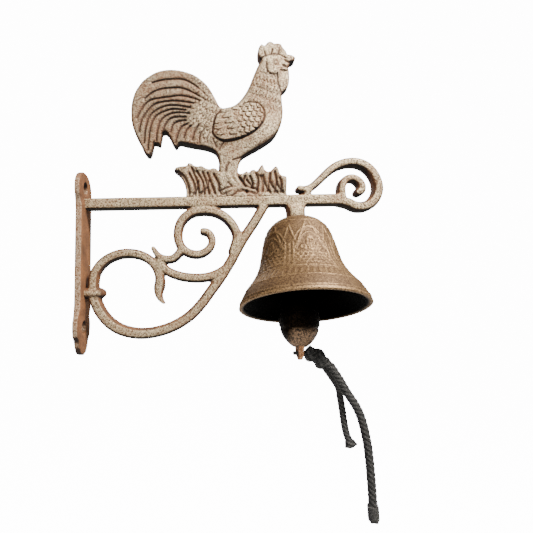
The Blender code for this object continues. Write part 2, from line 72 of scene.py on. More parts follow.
def smooth_path(points: Sequence[Sequence[float]], step: float) -> list[Vector]:
    """Points about a step apart on the Catmull-Rom curve through the given ones.

    Args:
        points: The route's own points, in two or three dimensions.
        step: Spacing of the returned points.

    Returns:
        The points, from the first given one to the last.
    """
    knots = [Vector(p) for p in points]
    knots = [2 * knots[0] - knots[1], *knots, 2 * knots[-1] - knots[-2]]
    path = []
    for i in range(1, len(knots) - 2):
        p0, p1, p2, p3 = knots[i - 1:i + 3]
        pieces = max(1, round((p2 - p1).length / step))
        for j in range(pieces):
            t = j / pieces
            path.append(0.5 * (2 * p1 + (p2 - p0) * t + (2 * p0 - 5 * p1 + 4 * p2 - p3) * t ** 2
                               + (3 * p1 - p0 - 3 * p2 + p3) * t ** 3))
    path.append(knots[-2])
    return path


def link_object(name: str, mesh: bpy.types.Mesh) -> bpy.types.Object:
    """Puts a mesh in the scene as an object.

    Args:
        name: The name to give it.
        mesh: The mesh to link.

    Returns:
        The new object.
    """
    made = bpy.data.objects.new(name, mesh)
    bpy.context.scene.collection.objects.link(made)
    return made


def mesh_object(name: str, points: Iterable, faces: Iterable) -> bpy.types.Object:
    """An object of points in millimetres and faces, with its normals turned outwards.

    Args:
        name: The piece's name.
        points: Points in millimetres.
        faces: Tuples of point numbers.

    Returns:
        The new object.
    """
    mesh = bpy.data.meshes.new(name)
    mesh.from_pydata([tuple(c * MM for c in p) for p in points], [], list(faces))
    work = bmesh.new()
    work.from_mesh(mesh)
    bmesh.ops.recalc_face_normals(work, faces=work.faces)
    work.to_mesh(mesh)
    work.free()
    mesh.shade_smooth()
    return link_object(name, mesh)


def applied(obj: bpy.types.Object) -> bpy.types.Object:
    """Makes the object's modifiers part of its mesh.

    Args:
        obj: The object to work on.

    Returns:
        The same object.
    """
    bpy.context.view_layer.update()
    graph = bpy.context.evaluated_depsgraph_get()
    mesh = bpy.data.meshes.new_from_object(obj.evaluated_get(graph))
    obj.modifiers.clear()
    obj.data = mesh
    return obj


def joined(name: str, objects: Sequence[bpy.types.Object]) -> bpy.types.Object:
    """One object that holds the meshes of several, which are removed.

    Args:
        name: The name to give it.
        objects: The objects to join.

    Returns:
        The new object.
    """
    work = bmesh.new()
    for obj in objects:
        mesh = obj.data.copy()
        mesh.transform(obj.matrix_world)
        work.from_mesh(mesh)
        bpy.data.meshes.remove(mesh)
        bpy.data.objects.remove(obj)
    mesh = bpy.data.meshes.new(name)
    work.to_mesh(mesh)
    work.free()
    return link_object(name, mesh)


def cast_skin_mesh(obj: bpy.types.Object, voxel: float, rounds: int) -> bpy.types.Object:
    """Melts overlapping closed shells into one evenly meshed body with soft edges, as a mould gives.

    Args:
        obj: The object with the shells.
        voxel: Size of the new mesh's cells in millimetres.
        rounds: How many times the surface is relaxed.

    Returns:
        The same object.
    """
    remesh = obj.modifiers.new("melt", "REMESH")
    remesh.mode = "VOXEL"
    remesh.voxel_size = voxel * MM
    remesh.use_smooth_shade = True
    if rounds:
        relax = obj.modifiers.new("relax", "SMOOTH")
        relax.factor = 0.5
        relax.iterations = rounds
    applied(obj)
    obj.data.shade_smooth()
    return obj


def coordinates(obj: bpy.types.Object) -> np.ndarray:
    """The mesh's points in millimetres, one row each.

    Args:
        obj: The object to work on.

    Returns:
        Rows of x, y and z.
    """
    flat = np.empty(len(obj.data.vertices) * 3)
    obj.data.vertices.foreach_get("co", flat)
    return flat.reshape(-1, 3) / MM


def set_coordinates(obj: bpy.types.Object, points: np.ndarray) -> None:
    """Moves the mesh's points, given in millimetres."""
    obj.data.vertices.foreach_set("co", (points * MM).ravel())
    obj.data.update()


def set_mask(obj: bpy.types.Object, name: str, values: np.ndarray) -> None:
    """Stores a value from 0 to 1 on each point, for the material to read."""
    layer = obj.data.attributes.new(name, "FLOAT", "POINT")
    layer.data.foreach_set("value", np.clip(values, 0, 1).astype(np.float32))


def distance_to_curves(points: np.ndarray, curves: Sequence[Sequence[Point2]],
                       step: float = 2.0) -> np.ndarray:
    """Distance from each (x, z) point to the nearest of some smooth curves.

    Args:
        points: Rows of x and z.
        curves: Each curve's own points. A curve of one point is a dot.
        step: Spacing of the points that stand for a curve.

    Returns:
        One distance for each row.
    """
    nearest = np.full(len(points), 1e9)
    for curve in curves:
        path = smooth_path(curve, step) if len(curve) > 1 else [Vector(curve[0])] * 2
        line = np.array([tuple(p) for p in path])
        for a, b in zip(line[:-1], line[1:]):
            along = b - a
            t = np.clip((points - a) @ along / max(along @ along, 1e-9), 0, 1)
            gap = points - a - t[:, None] * along
            nearest = np.minimum(nearest, np.hypot(gap[:, 0], gap[:, 1]))
    return nearest


def along_curves(points: np.ndarray, curves: Sequence[Sequence[Point2]]) -> np.ndarray:
    """How far along its nearest curve each flat point lies, in millimetres.

    Args:
        points: Rows of x and z.
        curves: Each curve's own points.

    Returns:
        One length for each row.
    """
    marks: list[tuple[Vector, float]] = []
    for curve in curves:
        gone = 0.0
        path = smooth_path(curve, 1.0)
        for here, after in zip(path, path[1:]):
            marks.append((here, gone))
            gone += (after - here).length
    tree = KDTree(len(marks))
    for i, (place, _) in enumerate(marks):
        tree.insert((place.x, place.y, 0), i)
    tree.balance()
    nearest = [tree.find((x, z, 0)) for x, z in points]
    return np.array([marks[i][1] + (Vector((x, z)) - marks[i][0]).dot(
        (marks[min(i + 1, len(marks) - 1)][0] - marks[i][0]).normalized())
        for (x, z), (_, i, _) in zip(points, nearest)])


def scales(points: np.ndarray, heading: float, wide: float, long: float,
           line: float) -> tuple[np.ndarray, np.ndarray]:
    """Rows of overlapping rounded feathers.

    Args:
        points: Rows of x and z.
        heading: Direction that the feathers point in, in degrees.
        wide: Width of one feather.
        long: Spacing of the rows.
        line: Width of the dark line round each feather.

    Returns:
        A mask of the lines, and how far each feather rises towards its tip, from 0 to 1.
    """
    c, s = math.cos(math.radians(heading)), math.sin(math.radians(heading))
    u = points[:, 0] * c + points[:, 1] * s
    v = points[:, 1] * c - points[:, 0] * s
    best = np.full(len(points), 1e9)
    rise = np.zeros(len(points))
    for shift in (0, 1):
        row = np.floor(u / long) - shift
        across = (v / wide + 0.5 * (row % 2) + 0.13 * np.sin(row * 2.3)) % 1.0 - 0.5
        reach = row * long + long * (1.05 + 0.95 * np.sqrt(np.clip(1 - (2 * across) ** 2, 0, 1)))
        gap = reach - u
        best = np.minimum(best, np.abs(gap))
        rise = np.where(gap > 0, 1 - gap / (2 * long), rise)
    return bump(best, line), np.clip(rise, 0, 1)


def bump(distance: np.ndarray, width: float) -> np.ndarray:
    """A round hill, 1 at no distance and fading over a width."""
    return np.exp(-(distance / width) ** 2)


def inside(points: np.ndarray, outline: Sequence[Point2]) -> np.ndarray:
    """Whether each (x, z) point is inside a closed outline.

    Args:
        points: Rows of x and z.
        outline: Its (x, z) corners in order.

    Returns:
        One truth value for each row.
    """
    x, z = points[:, 0], points[:, 1]
    found = np.zeros(len(points), bool)
    ring = list(outline)
    for (x0, z0), (x1, z1) in zip(ring, ring[1:] + ring[:1]):
        if z0 == z1:
            continue
        crosses = (z0 > z) != (z1 > z)
        found ^= crosses & (x < (x1 - x0) * (z - z0) / (z1 - z0) + x0)
    return found


# ---------------------------------------------------------------- shader building


class Nodes:
    """A node tree with short calls that place a node and join it up."""

    def __init__(self, tree: bpy.types.NodeTree) -> None:
        """Keeps the tree to build in."""
        self.tree = tree

    def add(self, kind: str, **settings: object) -> bpy.types.Node:
        """A new node with some of its settings.

        Args:
            kind: The node's type name.
            settings: Values for its own properties.

        Returns:
            The new node.
        """
        made = self.tree.nodes.new(kind)
        for key, value in settings.items():
            setattr(made, key, value)
        return made

    def put(self, socket: bpy.types.NodeSocket, value: object) -> None:
        """Sets a socket to a number or a colour, or joins another socket to it."""
        if isinstance(value, bpy.types.NodeSocket):
            self.tree.links.new(value, socket)
        elif isinstance(value, tuple) and len(socket.default_value) == 4:
            socket.default_value = (*value, 1.0)
        else:
            socket.default_value = value

    def math(self, operation: str, a: object, b: object = 0.0, clamp: bool = False) -> bpy.types.NodeSocket:
        """The result of a Math node.

        Args:
            operation: The sum to do.
            a: The first value or socket.
            b: The second value or socket.
            clamp: Whether the result stays from 0 to 1.

        Returns:
            The result.
        """
        made = self.add("ShaderNodeMath", operation=operation, use_clamp=clamp)
        self.put(made.inputs[0], a)
        self.put(made.inputs[1], b)
        return made.outputs[0]

    def ramp(self, value: object, low: float, high: float, to_low: float = 0.0,
             to_high: float = 1.0) -> bpy.types.NodeSocket:
        """A smooth step from one value to another as the input goes from low to high.

        Args:
            value: The value or socket to map.
            low: Value at the low end.
            high: Value at the high end.
            to_low: Result at the low end.
            to_high: Result at the high end.

        Returns:
            The mapped value.
        """
        made = self.add("ShaderNodeMapRange", interpolation_type="SMOOTHSTEP")
        for socket, given in zip(made.inputs, (value, low, high, to_low, to_high)):
            self.put(socket, given)
        return made.outputs[0]

    def mix(self, share: object, a: object, b: object, blend: str = "MIX") -> bpy.types.NodeSocket:
        """A colour between two others.

        Args:
            share: How much of the second colour there is.
            a: The first value or socket.
            b: The second value or socket.
            blend: How the colours combine.

        Returns:
            The mixed colour.
        """
        made = self.add("ShaderNodeMix", data_type="RGBA", blend_type=blend)
        self.put(made.inputs[0], share)
        self.put(made.inputs[6], a)
        self.put(made.inputs[7], b)
        return made.outputs[2]

    def noise(self, scale: object, detail: float, vector: object, rough: float = 0.5) -> bpy.types.NodeSocket:
        """A Noise Texture's value.

        Args:
            scale: Cells in a metre.
            detail: Number of octaves.
            vector: Where to read it.
            rough: Weight of the octaves.

        Returns:
            The noise from 0 to 1.
        """
        made = self.add("ShaderNodeTexNoise")
        self.put(made.inputs["Vector"], vector)
        self.put(made.inputs["Scale"], scale)
        self.put(made.inputs["Detail"], detail)
        self.put(made.inputs["Roughness"], rough)
        return made.outputs["Fac"]

    def group(self, tree: bpy.types.NodeTree, **inputs: object) -> bpy.types.Node:
        """A shared group with its named inputs filled.

        Args:
            tree: The group to place.
            inputs: Values for the group's inputs.

        Returns:
            The placed group.
        """
        made = self.add("ShaderNodeGroup", node_tree=tree)
        for key, value in inputs.items():
            self.put(made.inputs[key], value)
        return made

    def mask(self, name: str) -> bpy.types.NodeSocket:
        """A value that the mesh carries on its points."""
        return self.add("ShaderNodeAttribute", attribute_name=name).outputs["Fac"]


def new_group(name: str, inputs: dict[str, float], outputs: Sequence[str]) -> tuple[
        bpy.types.NodeTree, Nodes, bpy.types.Node, bpy.types.Node]:
    """A shader node group with number sockets.

    Args:
        name: The group's name.
        inputs: Names of its inputs with their usual values.
        outputs: Names of its outputs.

    Returns:
        The group, a builder for it, its input node and its output node.
    """
    tree = bpy.data.node_groups.new(name, "ShaderNodeTree")
    for key, value in inputs.items():
        tree.interface.new_socket(key, in_out="INPUT", socket_type="NodeSocketFloat").default_value = value
    for key in outputs:
        tree.interface.new_socket(key, in_out="OUTPUT", socket_type="NodeSocketFloat")
    nodes = Nodes(tree)
    return tree, nodes, nodes.add("NodeGroupInput"), nodes.add("NodeGroupOutput")


class SharedEffects:
    """The effects that several finishes use: cast grain, facing masks and brushed wear."""

    def __init__(self) -> None:
        """Builds the groups once."""
        self.grain = self._grain()
        self.facing = self._facing()
        self.wear = self._wear()

    @staticmethod
    def _grain() -> bpy.types.NodeTree:
        """Sand-cast skin: a height for bump, small bright specks and slow blotches.

        Returns:
            The group.
        """
        tree, nodes, given, out = new_group(
            "cast_grain", {"Size": 1.0}, ("Height", "Speck", "Blotch"))
        place = nodes.add("ShaderNodeTexCoord").outputs["Object"]
        size = given.outputs["Size"]
        coarse = nodes.noise(nodes.math("DIVIDE", 620.0, size), 3.0, place, 0.6)
        fine = nodes.noise(nodes.math("DIVIDE", 1700.0, size), 2.0, place, 0.55)
        height = nodes.math("MULTIPLY_ADD", coarse, 0.65)
        nodes.tree.links.new(nodes.math("MULTIPLY", fine, 0.35), height.node.inputs[2])
        speck = nodes.ramp(nodes.math("ADD", nodes.math("MULTIPLY", fine, 0.55),
                                      nodes.math("MULTIPLY", coarse, 0.45)), 0.45, 0.54)
        blotch = nodes.ramp(nodes.noise(70.0, 4.0, place, 0.6), 0.35, 0.68)
        for key, value in (("Height", height), ("Speck", speck), ("Blotch", blotch)):
            nodes.put(out.inputs[key], value)
        return tree

    @staticmethod
    def _facing() -> bpy.types.NodeTree:
        """How far a surface faces the casting's two flat sides, and how far it faces down.

        Returns:
            The group.
        """
        tree, nodes, given, out = new_group(
            "facing", {"Start": 0.35, "End": 0.85}, ("Flat Side", "Underside"))
        split = nodes.add("ShaderNodeSeparateXYZ")
        nodes.put(split.inputs[0], nodes.add("ShaderNodeNewGeometry").outputs["Normal"])
        side = nodes.math("ABSOLUTE", split.outputs["Y"])
        ramp = nodes.add("ShaderNodeMapRange", interpolation_type="SMOOTHSTEP")
        nodes.put(ramp.inputs[0], side)
        nodes.put(ramp.inputs[1], given.outputs["Start"])
        nodes.put(ramp.inputs[2], given.outputs["End"])
        nodes.put(out.inputs["Flat Side"], ramp.outputs[0])
        nodes.put(out.inputs["Underside"], nodes.ramp(split.outputs["Z"], -0.1, -0.75))
        return tree

    @staticmethod
    def _wear() -> bpy.types.NodeTree:
        """Where a dry brush or a hand has left metal bright: high grain on high relief.

        Returns:
            The group.
        """
        tree, nodes, given, out = new_group(
            "brushed_wear", {"Relief": 1.0, "Speck": 0.5, "Blotch": 0.5, "Amount": 1.0}, ("Mask",))
        patch = nodes.math("MULTIPLY_ADD", given.outputs["Blotch"], 0.35)
        patch.node.inputs[2].default_value = 0.72
        grain = nodes.math("MULTIPLY_ADD", given.outputs["Speck"], 0.92)
        grain.node.inputs[2].default_value = 0.08
        both = nodes.math("MULTIPLY", nodes.math("MULTIPLY", patch, grain), given.outputs["Relief"])
        nodes.put(out.inputs["Mask"], nodes.math("MULTIPLY", both, given.outputs["Amount"], clamp=True))
        return tree


def new_material(name: str) -> tuple[bpy.types.Material, Nodes, bpy.types.Node]:
    """A material with its builder and its Principled shader.

    Args:
        name: The name to give it.

    Returns:
        The material, its builder and its shader.
    """
    made = bpy.data.materials.new(name)
    made.use_nodes = True
    return made, Nodes(made.node_tree), made.node_tree.nodes["Principled BSDF"]


def finish_surface(nodes: Nodes, shader: bpy.types.Node, colour: object, rough: object, metal: object,
                   height: object, depth: float, strength: float = 1.0) -> None:
    """Joins colour, roughness, metallic and a bump to the shader.

    Args:
        nodes: The material's builder.
        shader: Its Principled node.
        colour: Base colour.
        rough: Roughness.
        metal: Metallic.
        height: Height of the bump, from 0 to 1.
        depth: Size of the bump in millimetres.
        strength: Strength of the bump.
    """
    nodes.put(shader.inputs["Base Color"], colour)
    nodes.put(shader.inputs["Roughness"], rough)
    nodes.put(shader.inputs["Metallic"], metal)
    relief = nodes.add("ShaderNodeBump")
    relief.inputs["Distance"].default_value = depth * MM
    relief.inputs["Strength"].default_value = strength
    nodes.put(relief.inputs["Height"], height)
    nodes.put(shader.inputs["Normal"], relief.outputs["Normal"])


@dataclass(frozen=True)
class CastIronFinish:
    """Rust-brown cast iron whose flat sides are dry-brushed with pale silver and whose undersides carry
    painted shade.
    """

    name: str
    rust: Colour = (0.235, 0.095, 0.036)
    umber: Colour = (0.045, 0.020, 0.009)
    silver: Colour = (0.66, 0.515, 0.31)
    painted_shade: Colour = (0.0015, 0.0012, 0.0012)
    groove: Colour = (0.035, 0.016, 0.007)
    flat_from: float = 0.74
    paint: float = 1.0
    plain_relief: float = 1.0
    uses_relief: bool = False
    grain_depth: float = 0.8

    def build(self, effects: SharedEffects) -> bpy.types.Material:
        """The finish as a material.

        Args:
            effects: The shader groups that the finishes share.

        Returns:
            The material.
        """
        made, nodes, shader = new_material(self.name)
        grain = nodes.group(effects.grain, Size=1.0)
        facing = nodes.group(effects.facing, Start=self.flat_from, End=0.985)
        speck, blotch = grain.outputs["Speck"], grain.outputs["Blotch"]
        relief = nodes.mask("relief") if self.uses_relief else self.plain_relief
        wear = nodes.group(effects.wear, Relief=relief, Speck=speck, Blotch=blotch, Amount=self.paint)
        base = nodes.mix(nodes.math("MULTIPLY", blotch, 0.8), self.rust, self.umber)
        base = nodes.mix(nodes.ramp(speck, 0.0, 1.0, 0.5, 0.0), base, self.umber)
        painted = nodes.math("MULTIPLY", wear.outputs["Mask"], facing.outputs["Flat Side"])
        colour = nodes.mix(painted, base, self.silver)
        if self.uses_relief:
            deep = nodes.ramp(relief, 0.50, 0.05)
            colour = nodes.mix(nodes.math("MULTIPLY", deep, 0.9), colour, self.groove)
        # Painted shade: surfaces that face down are mixed towards near black.
        shade = nodes.math("MULTIPLY", facing.outputs["Underside"], 0.93)
        colour = nodes.mix(shade, colour, self.painted_shade)
        rough = nodes.ramp(painted, 0.0, 1.0, 0.78, 0.45)
        metal = nodes.ramp(painted, 0.0, 1.0, 0.25, 0.60)
        finish_surface(nodes, shader, colour, rough, metal, grain.outputs["Height"], self.grain_depth)
        return made


@dataclass(frozen=True)
class BellBronzeFinish:
    """Antique bronze: golden on the raised ornament and the lip, brown between, with painted shade that turns
    the inside black and darkens a band above the lip.
    """

    name: str
    gold: Colour = (0.37, 0.225, 0.102)
    brown: Colour = (0.060, 0.028, 0.010)
    dark: Colour = (0.0010, 0.0008, 0.0006)
    shade: Colour = (0.06, 0.033, 0.016)

    def build(self, effects: SharedEffects) -> bpy.types.Material:
        """The finish as a material.

        Args:
            effects: The shader groups that the finishes share.

        Returns:
            The material.
        """
        made, nodes, shader = new_material(self.name)
        grain = nodes.group(effects.grain, Size=0.8)
        speck, blotch = grain.outputs["Speck"], grain.outputs["Blotch"]
        wear = nodes.group(effects.wear, Relief=nodes.ramp(nodes.mask("relief"), 0.0, 1.0, 0.60, 1.4),
                           Speck=speck, Blotch=blotch, Amount=1.0)
        colour = nodes.mix(wear.outputs["Mask"], self.brown, self.gold)
        colour = nodes.mix(nodes.ramp(nodes.mask("shade"), 0.0, 1.0, 0.0, 0.75), colour, self.shade)
        # Painted shade: the marked inside goes near black.
        colour = nodes.mix(nodes.mask("inner"), colour, self.dark)
        rough = nodes.ramp(wear.outputs["Mask"], 0.0, 1.0, 0.66, 0.46)
        # The inside is also made fully metallic, so the near-black painted shade reflects almost nothing.
        finish_surface(nodes, shader, colour, rough, nodes.ramp(nodes.mask("inner"), 0.0, 1.0, 0.55, 1.0),
                       grain.outputs["Height"], 0.40)
        return made


@dataclass(frozen=True)
class DarkMetalFinish:
    """Dark oiled or rusted metal for the clapper and the hardware, with painted shade where its mesh is
    marked for it.
    """

    name: str
    base: Colour
    worn: Colour
    metallic: float
    roughness: float
    depth: float = 0.3
    shaded: bool = False
    painted_shade: Colour = (0.0012, 0.0010, 0.0009)

    def build(self, effects: SharedEffects) -> bpy.types.Material:
        """The finish as a material.

        Args:
            effects: The shader groups that the finishes share.

        Returns:
            The material.
        """
        made, nodes, shader = new_material(self.name)
        grain = nodes.group(effects.grain, Size=1.3 if self.shaded else 0.9)
        wear = nodes.group(effects.wear, Relief=1.0, Speck=grain.outputs["Speck"],
                           Blotch=grain.outputs["Blotch"], Amount=0.9)
        colour = nodes.mix(wear.outputs["Mask"], self.base, self.worn)
        # Painted shade: where the weight's shade mask is set, the colour goes near black and the metal fully
        # metallic, so it reflects almost nothing.
        if self.shaded:
            colour = nodes.mix(nodes.mask("painted_shade"), colour, self.painted_shade)
        rough = nodes.ramp(grain.outputs["Speck"], 0.0, 1.0, self.roughness + 0.12, self.roughness - 0.08)
        metal = nodes.ramp(nodes.mask("painted_shade"), 0.0, 1.0, self.metallic, 1.0) if self.shaded else self.metallic
        finish_surface(nodes, shader, colour, rough, metal, grain.outputs["Height"], self.depth)
        return made


@dataclass(frozen=True)
class RopeFinish:
    """Charcoal rope of twisted strands, each of fine yarns, with painted highlights on the strands' crowns
    and painted shade between them.
    """

    name: str
    dark: Colour = (0.004, 0.0038, 0.0035)
    grey: Colour = (0.034, 0.032, 0.029)
    pale: Colour = (0.32, 0.31, 0.29)

    def build(self, effects: SharedEffects) -> bpy.types.Material:
        """The finish as a material.

        Args:
            effects: The shader groups that the finishes share.

        Returns:
            The material.
        """
        made, nodes, shader = new_material(self.name)
        grain = nodes.group(effects.grain, Size=0.55)
        route = nodes.add("ShaderNodeUVMap", uv_map="rope")
        lay = nodes.add("ShaderNodeTexWave", wave_type="BANDS", bands_direction="X", wave_profile="SIN")
        nodes.put(lay.inputs["Vector"], route.outputs["UV"])
        nodes.put(lay.inputs["Scale"], 2.0)
        nodes.put(lay.inputs["Distortion"], 1.6)
        nodes.put(lay.inputs["Detail"], 2.0)
        nodes.put(lay.inputs["Detail Scale"], 3.0)
        yarn = lay.outputs["Fac"]
        crown = nodes.mask("relief")
        # Painted highlight: the pale colour goes on the strands' crowns, broken by the yarns and the grain.
        lit = nodes.math("MULTIPLY", nodes.math("MULTIPLY", crown, nodes.ramp(yarn, 0.35, 0.85, 0.05, 1.0)),
                         nodes.ramp(grain.outputs["Speck"], 0.0, 1.0, 0.25, 1.0))
        # Painted shade: near black between the strands, grey on their crowns.
        colour = nodes.mix(crown, self.dark, self.grey)
        colour = nodes.mix(nodes.math("MULTIPLY", lit, 0.95), colour, self.pale)
        height = nodes.math("ADD", nodes.math("MULTIPLY", yarn, 0.7),
                            nodes.math("MULTIPLY", grain.outputs["Height"], 0.5))
        finish_surface(nodes, shader, colour, 0.92, 0.0, height, 0.45)
        shader.inputs["Sheen Weight"].default_value = 0.03
        shader.inputs["Sheen Roughness"].default_value = 0.6
        return made


# ---------------------------------------------------------------- the bracket's casting


@dataclass(frozen=True)
class Member:
    """One scroll of the casting: its middle line, and its width at its start, middle and end."""

    name: str
    route: tuple[Point2, ...]
    widths: tuple[float, float, float]

    def width_at(self, t: float) -> float:
        """Width at a share of the way along."""
        first, middle, last = self.widths
        return first + (middle - first) * 2 * t if t < 0.5 else middle + (last - middle) * (2 * t - 1)

    def build(self, depth: float, chamfer: float, step: float) -> bpy.types.Object:
        """A closed bar with bevelled long edges and rounded ends.

        Args:
            depth: Half of the bar's thickness.
            chamfer: Width of the bevel on its long edges.
            step: Spacing of its sections.

        Returns:
            The bar as an object.
        """
        path = smooth_path(self.route, step)
        last = len(path) - 1
        rings: list[tuple[Vector, Vector, float]] = []
        for i, here in enumerate(path):
            along = (path[min(i + 1, last)] - path[max(i - 1, 0)]).normalized()
            half = self.width_at(i / last) / 2
            across = Vector((-along.y, along.x))
            if i == 0:
                for a in (70, 45, 20):
                    rings.append((here - along * half * math.sin(math.radians(a)), across,
                                  half * math.cos(math.radians(a))))
            rings.append((here, across, half))
            if i == last:
                for a in (20, 45, 70):
                    rings.append((here + along * half * math.sin(math.radians(a)), across,
                                  half * math.cos(math.radians(a))))
        points, faces = [], []
        for centre, across, half in rings:
            cut = min(chamfer, half * 0.45)
            section = ((half, depth - cut), (half - cut, depth), (0, depth), (cut - half, depth),
                       (-half, depth - cut), (-half, cut - depth), (cut - half, -depth), (0, -depth),
                       (half - cut, -depth), (half, cut - depth))
            for a, y in section:
                place = centre + across * a
                points.append((place.x, y, place.y))
        count = 10
        for r in range(len(rings) - 1):
            for k in range(count):
                n = (k + 1) % count
                faces.append((r * count + k, r * count + n, (r + 1) * count + n, (r + 1) * count + k))
        faces.append(tuple(range(count)))
        faces.append(tuple(range((len(rings) - 1) * count, len(rings) * count)))
        return mesh_object(self.name, points, faces)


def slab(name: str, outline: Sequence[Point2], half: float) -> bpy.types.Object:
    """A closed body whose (x, z) outline is extruded half to each side of the bracket's plane.

    Args:
        name: The name to give it.
        outline: Its (x, z) corners in order.
        half: Half of its thickness.

    Returns:
        The new object.
    """
    count = len(outline)
    points = [(x, -half, z) for x, z in outline] + [(x, half, z) for x, z in outline]
    faces = [tuple(range(count)), tuple(range(count, 2 * count))]
    faces += [(i, (i + 1) % count, count + (i + 1) % count, count + i) for i in range(count)]
    return mesh_object(name, points, faces)


def block(name: str, low: Point3, high: Point3, chamfer: float) -> bpy.types.Object:
    """A box with bevelled edges between two corners.

    Args:
        name: The name to give it.
        low: The corner with the smallest coordinates.
        high: The corner with the largest coordinates.
        chamfer: Width of the bevel on its edges.

    Returns:
        The new object.
    """
    mesh = bpy.data.meshes.new(name)
    work = bmesh.new()
    bmesh.ops.create_cube(work, size=1.0)
    bmesh.ops.scale(work, vec=[(b - a) * MM for a, b in zip(low, high)], verts=work.verts)
    bmesh.ops.translate(work, vec=[(a + b) / 2 * MM for a, b in zip(low, high)], verts=work.verts)
    bmesh.ops.bevel(work, geom=list(work.edges), offset=chamfer * MM, segments=2, profile=0.6, affect="EDGES")
    work.to_mesh(mesh)
    work.free()
    return link_object(name, mesh)


@dataclass
class Scrollwork:
    """The arm, the boss, the scrolls and the collar, flowing into each other as one casting."""

    half_depth: float = 5.0
    chamfer: float = 1.9
    arm_start: float = 2.0
    arm_end: float = 217.0
    arm_low: float = 38.8
    arm_high: float = 48.2
    bell_x: float = 177.5
    collar_z: float = -29.4
    voxel: float = 0.75

    def members(self) -> tuple[Member, ...]:
        """Every scroll, each running a little way into the one that it joins."""
        return (
            Member("brace", (
                (151.5, 40.0), (143.3, 26.9), (137.6, 18.7), (132.0, 10.6), (127.2, 2.5), (122.6, -5.5),
                (117.5, -13.5), (112.0, -21.4), (105.6, -29.6), (97.5, -40.0), (88.3, -49.0), (76.4, -56.2),
                (63.0, -60.6), (49.0, -61.9), (35.5, -59.2), (25.2, -53.2), (17.5, -44.2), (13.0, -34.5),
                (11.8, -30.0)), (8.0, 8.4, 9.0)),
            Member("spiral", (
                (124.0, 2.0), (127.6, 13.0), (126.4, 20.0), (121.8, 27.3), (115.5, 32.6), (108.7, 35.4),
                (101.0, 36.3), (94.0, 35.6), (87.5, 32.6), (82.5, 27.3), (80.0, 20.2), (79.8, 13.2),
                (81.8, 7.2), (85.7, 2.8), (91.0, 0.4), (96.5, 0.0), (101.5, 1.8), (105.5, 5.4),
                (107.4, 10.3), (106.4, 15.0), (103.8, 18.0), (100.4, 18.8)), (7.2, 7.8, 5.8)),
            Member("branch", (
                (64.5, -7.0), (67.6, -10.2), (72.5, -14.0), (80.5, -17.2), (88.9, -18.8), (97.0, -19.2),
                (105.0, -18.2), (112.0, -15.6), (118.0, -12.0)), (7.2, 7.4, 7.4)),
            Member("upper_arc", (
                (11.5, -27.0), (12.3, -15.7), (15.3, -9.2), (20.0, -4.1), (25.5, -0.7), (31.9, 1.5),
                (38.4, 2.2), (44.8, 1.6), (51.0, -0.3), (56.5, -3.6), (61.0, -8.5), (63.7, -14.6),
                (64.5, -21.0)), (7.8, 7.8, 7.0)),
            Member("hook_leaf", (
                (62.4, -9.8), (64.2, -16.0), (64.6, -22.0), (63.6, -27.8), (63.6, -31.6), (65.0, -35.4),
                (67.4, -38.4)), (6.4, 8.8, 2.0)),
            Member("small_scroll", (
                (59.6, 5.6), (62.8, 0.6), (67.0, -2.6), (72.4, -3.6), (77.0, -2.0), (82.6, 4.0)),
                   (3.6, 6.4, 6.6)),
            Member("end_scroll", (
                (212.0, 43.0), (222.0, 40.2), (226.2, 37.9), (231.0, 36.8), (236.2, 37.4), (241.2, 40.0),
                (245.2, 44.4), (247.6, 49.6), (248.2, 55.0), (247.0, 61.0), (244.4, 66.4), (240.6, 70.8),
                (235.6, 74.0), (229.6, 75.5), (223.4, 75.4), (217.0, 73.8), (211.0, 70.9), (205.4, 66.6),
                (200.0, 61.6), (195.2, 57.3), (190.4, 53.9), (185.2, 52.6), (181.4, 53.2)), (8.6, 8.2, 5.4)),
            Member("scroll_web", ((187.0, 48.6), (190.0, 51.6)), (4.0, 4.0, 4.0)),
            Member("end_curl", (
                (217.0, 44.0), (216.8, 52.2), (218.0, 56.8), (220.8, 60.2), (225.0, 61.8), (229.2, 61.0),
                (232.6, 58.2), (234.2, 54.6), (233.6, 51.2), (231.4, 49.6)), (6.8, 6.0, 7.0)),
        )

    def build(self, effects: SharedEffects) -> bpy.types.Object:
        """The casting without its plate and rooster.

        Args:
            effects: The shader groups that the finishes share.

        Returns:
            The new piece.
        """
        parts = [m.build(self.half_depth, self.chamfer, 1.5) for m in self.members()]
        depth = self.half_depth
        low, high = (self.arm_start, -depth, self.arm_low), (self.arm_end, depth, self.arm_high)
        parts.append(block("arm", low, high, self.chamfer))
        parts.append(self.boss())
        parts.append(self.collar())
        made = cast_skin_mesh(joined("scrollwork", parts), self.voxel, 3)
        made.data.materials.append(CastIronFinish("brushed_cast_iron").build(effects))
        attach(made, Body.BRACKET.value)
        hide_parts("arm", "bell_boss", "end_scroll", "end_curl", "brace", "spiral_scroll",
                    "lower_branch", "upper_arc", "small_scroll", "collar")
        return made

    def boss(self) -> bpy.types.Object:
        """The boss under the arm, flared where it grows out of it.

        Returns:
            The new piece.
        """
        x = self.bell_x
        rows = ((40.4, 12.0, 4.9), (38.6, 9.2, 5.4), (36.4, 7.7, 6.4), (33.0, 7.4, 6.9), (28.4, 7.5, 7.0),
                (27.7, 7.0, 6.5))
        points, faces = [], []
        count = 24
        for z, half_x, half_y in rows:
            for k in range(count):
                a = 2 * math.pi * k / count
                c, s = math.cos(a), math.sin(a)
                squared = (abs(c) ** 3.4 + abs(s) ** 3.4) ** (-1 / 3.4)
                points.append((x + half_x * c * squared, half_y * s * squared, z))
        for r in range(len(rows) - 1):
            for k in range(count):
                n = (k + 1) % count
                faces.append((r * count + k, r * count + n, (r + 1) * count + n, (r + 1) * count + k))
        faces += [tuple(range(count)), tuple(range((len(rows) - 1) * count, len(rows) * count))]
        return mesh_object("boss", points, faces)

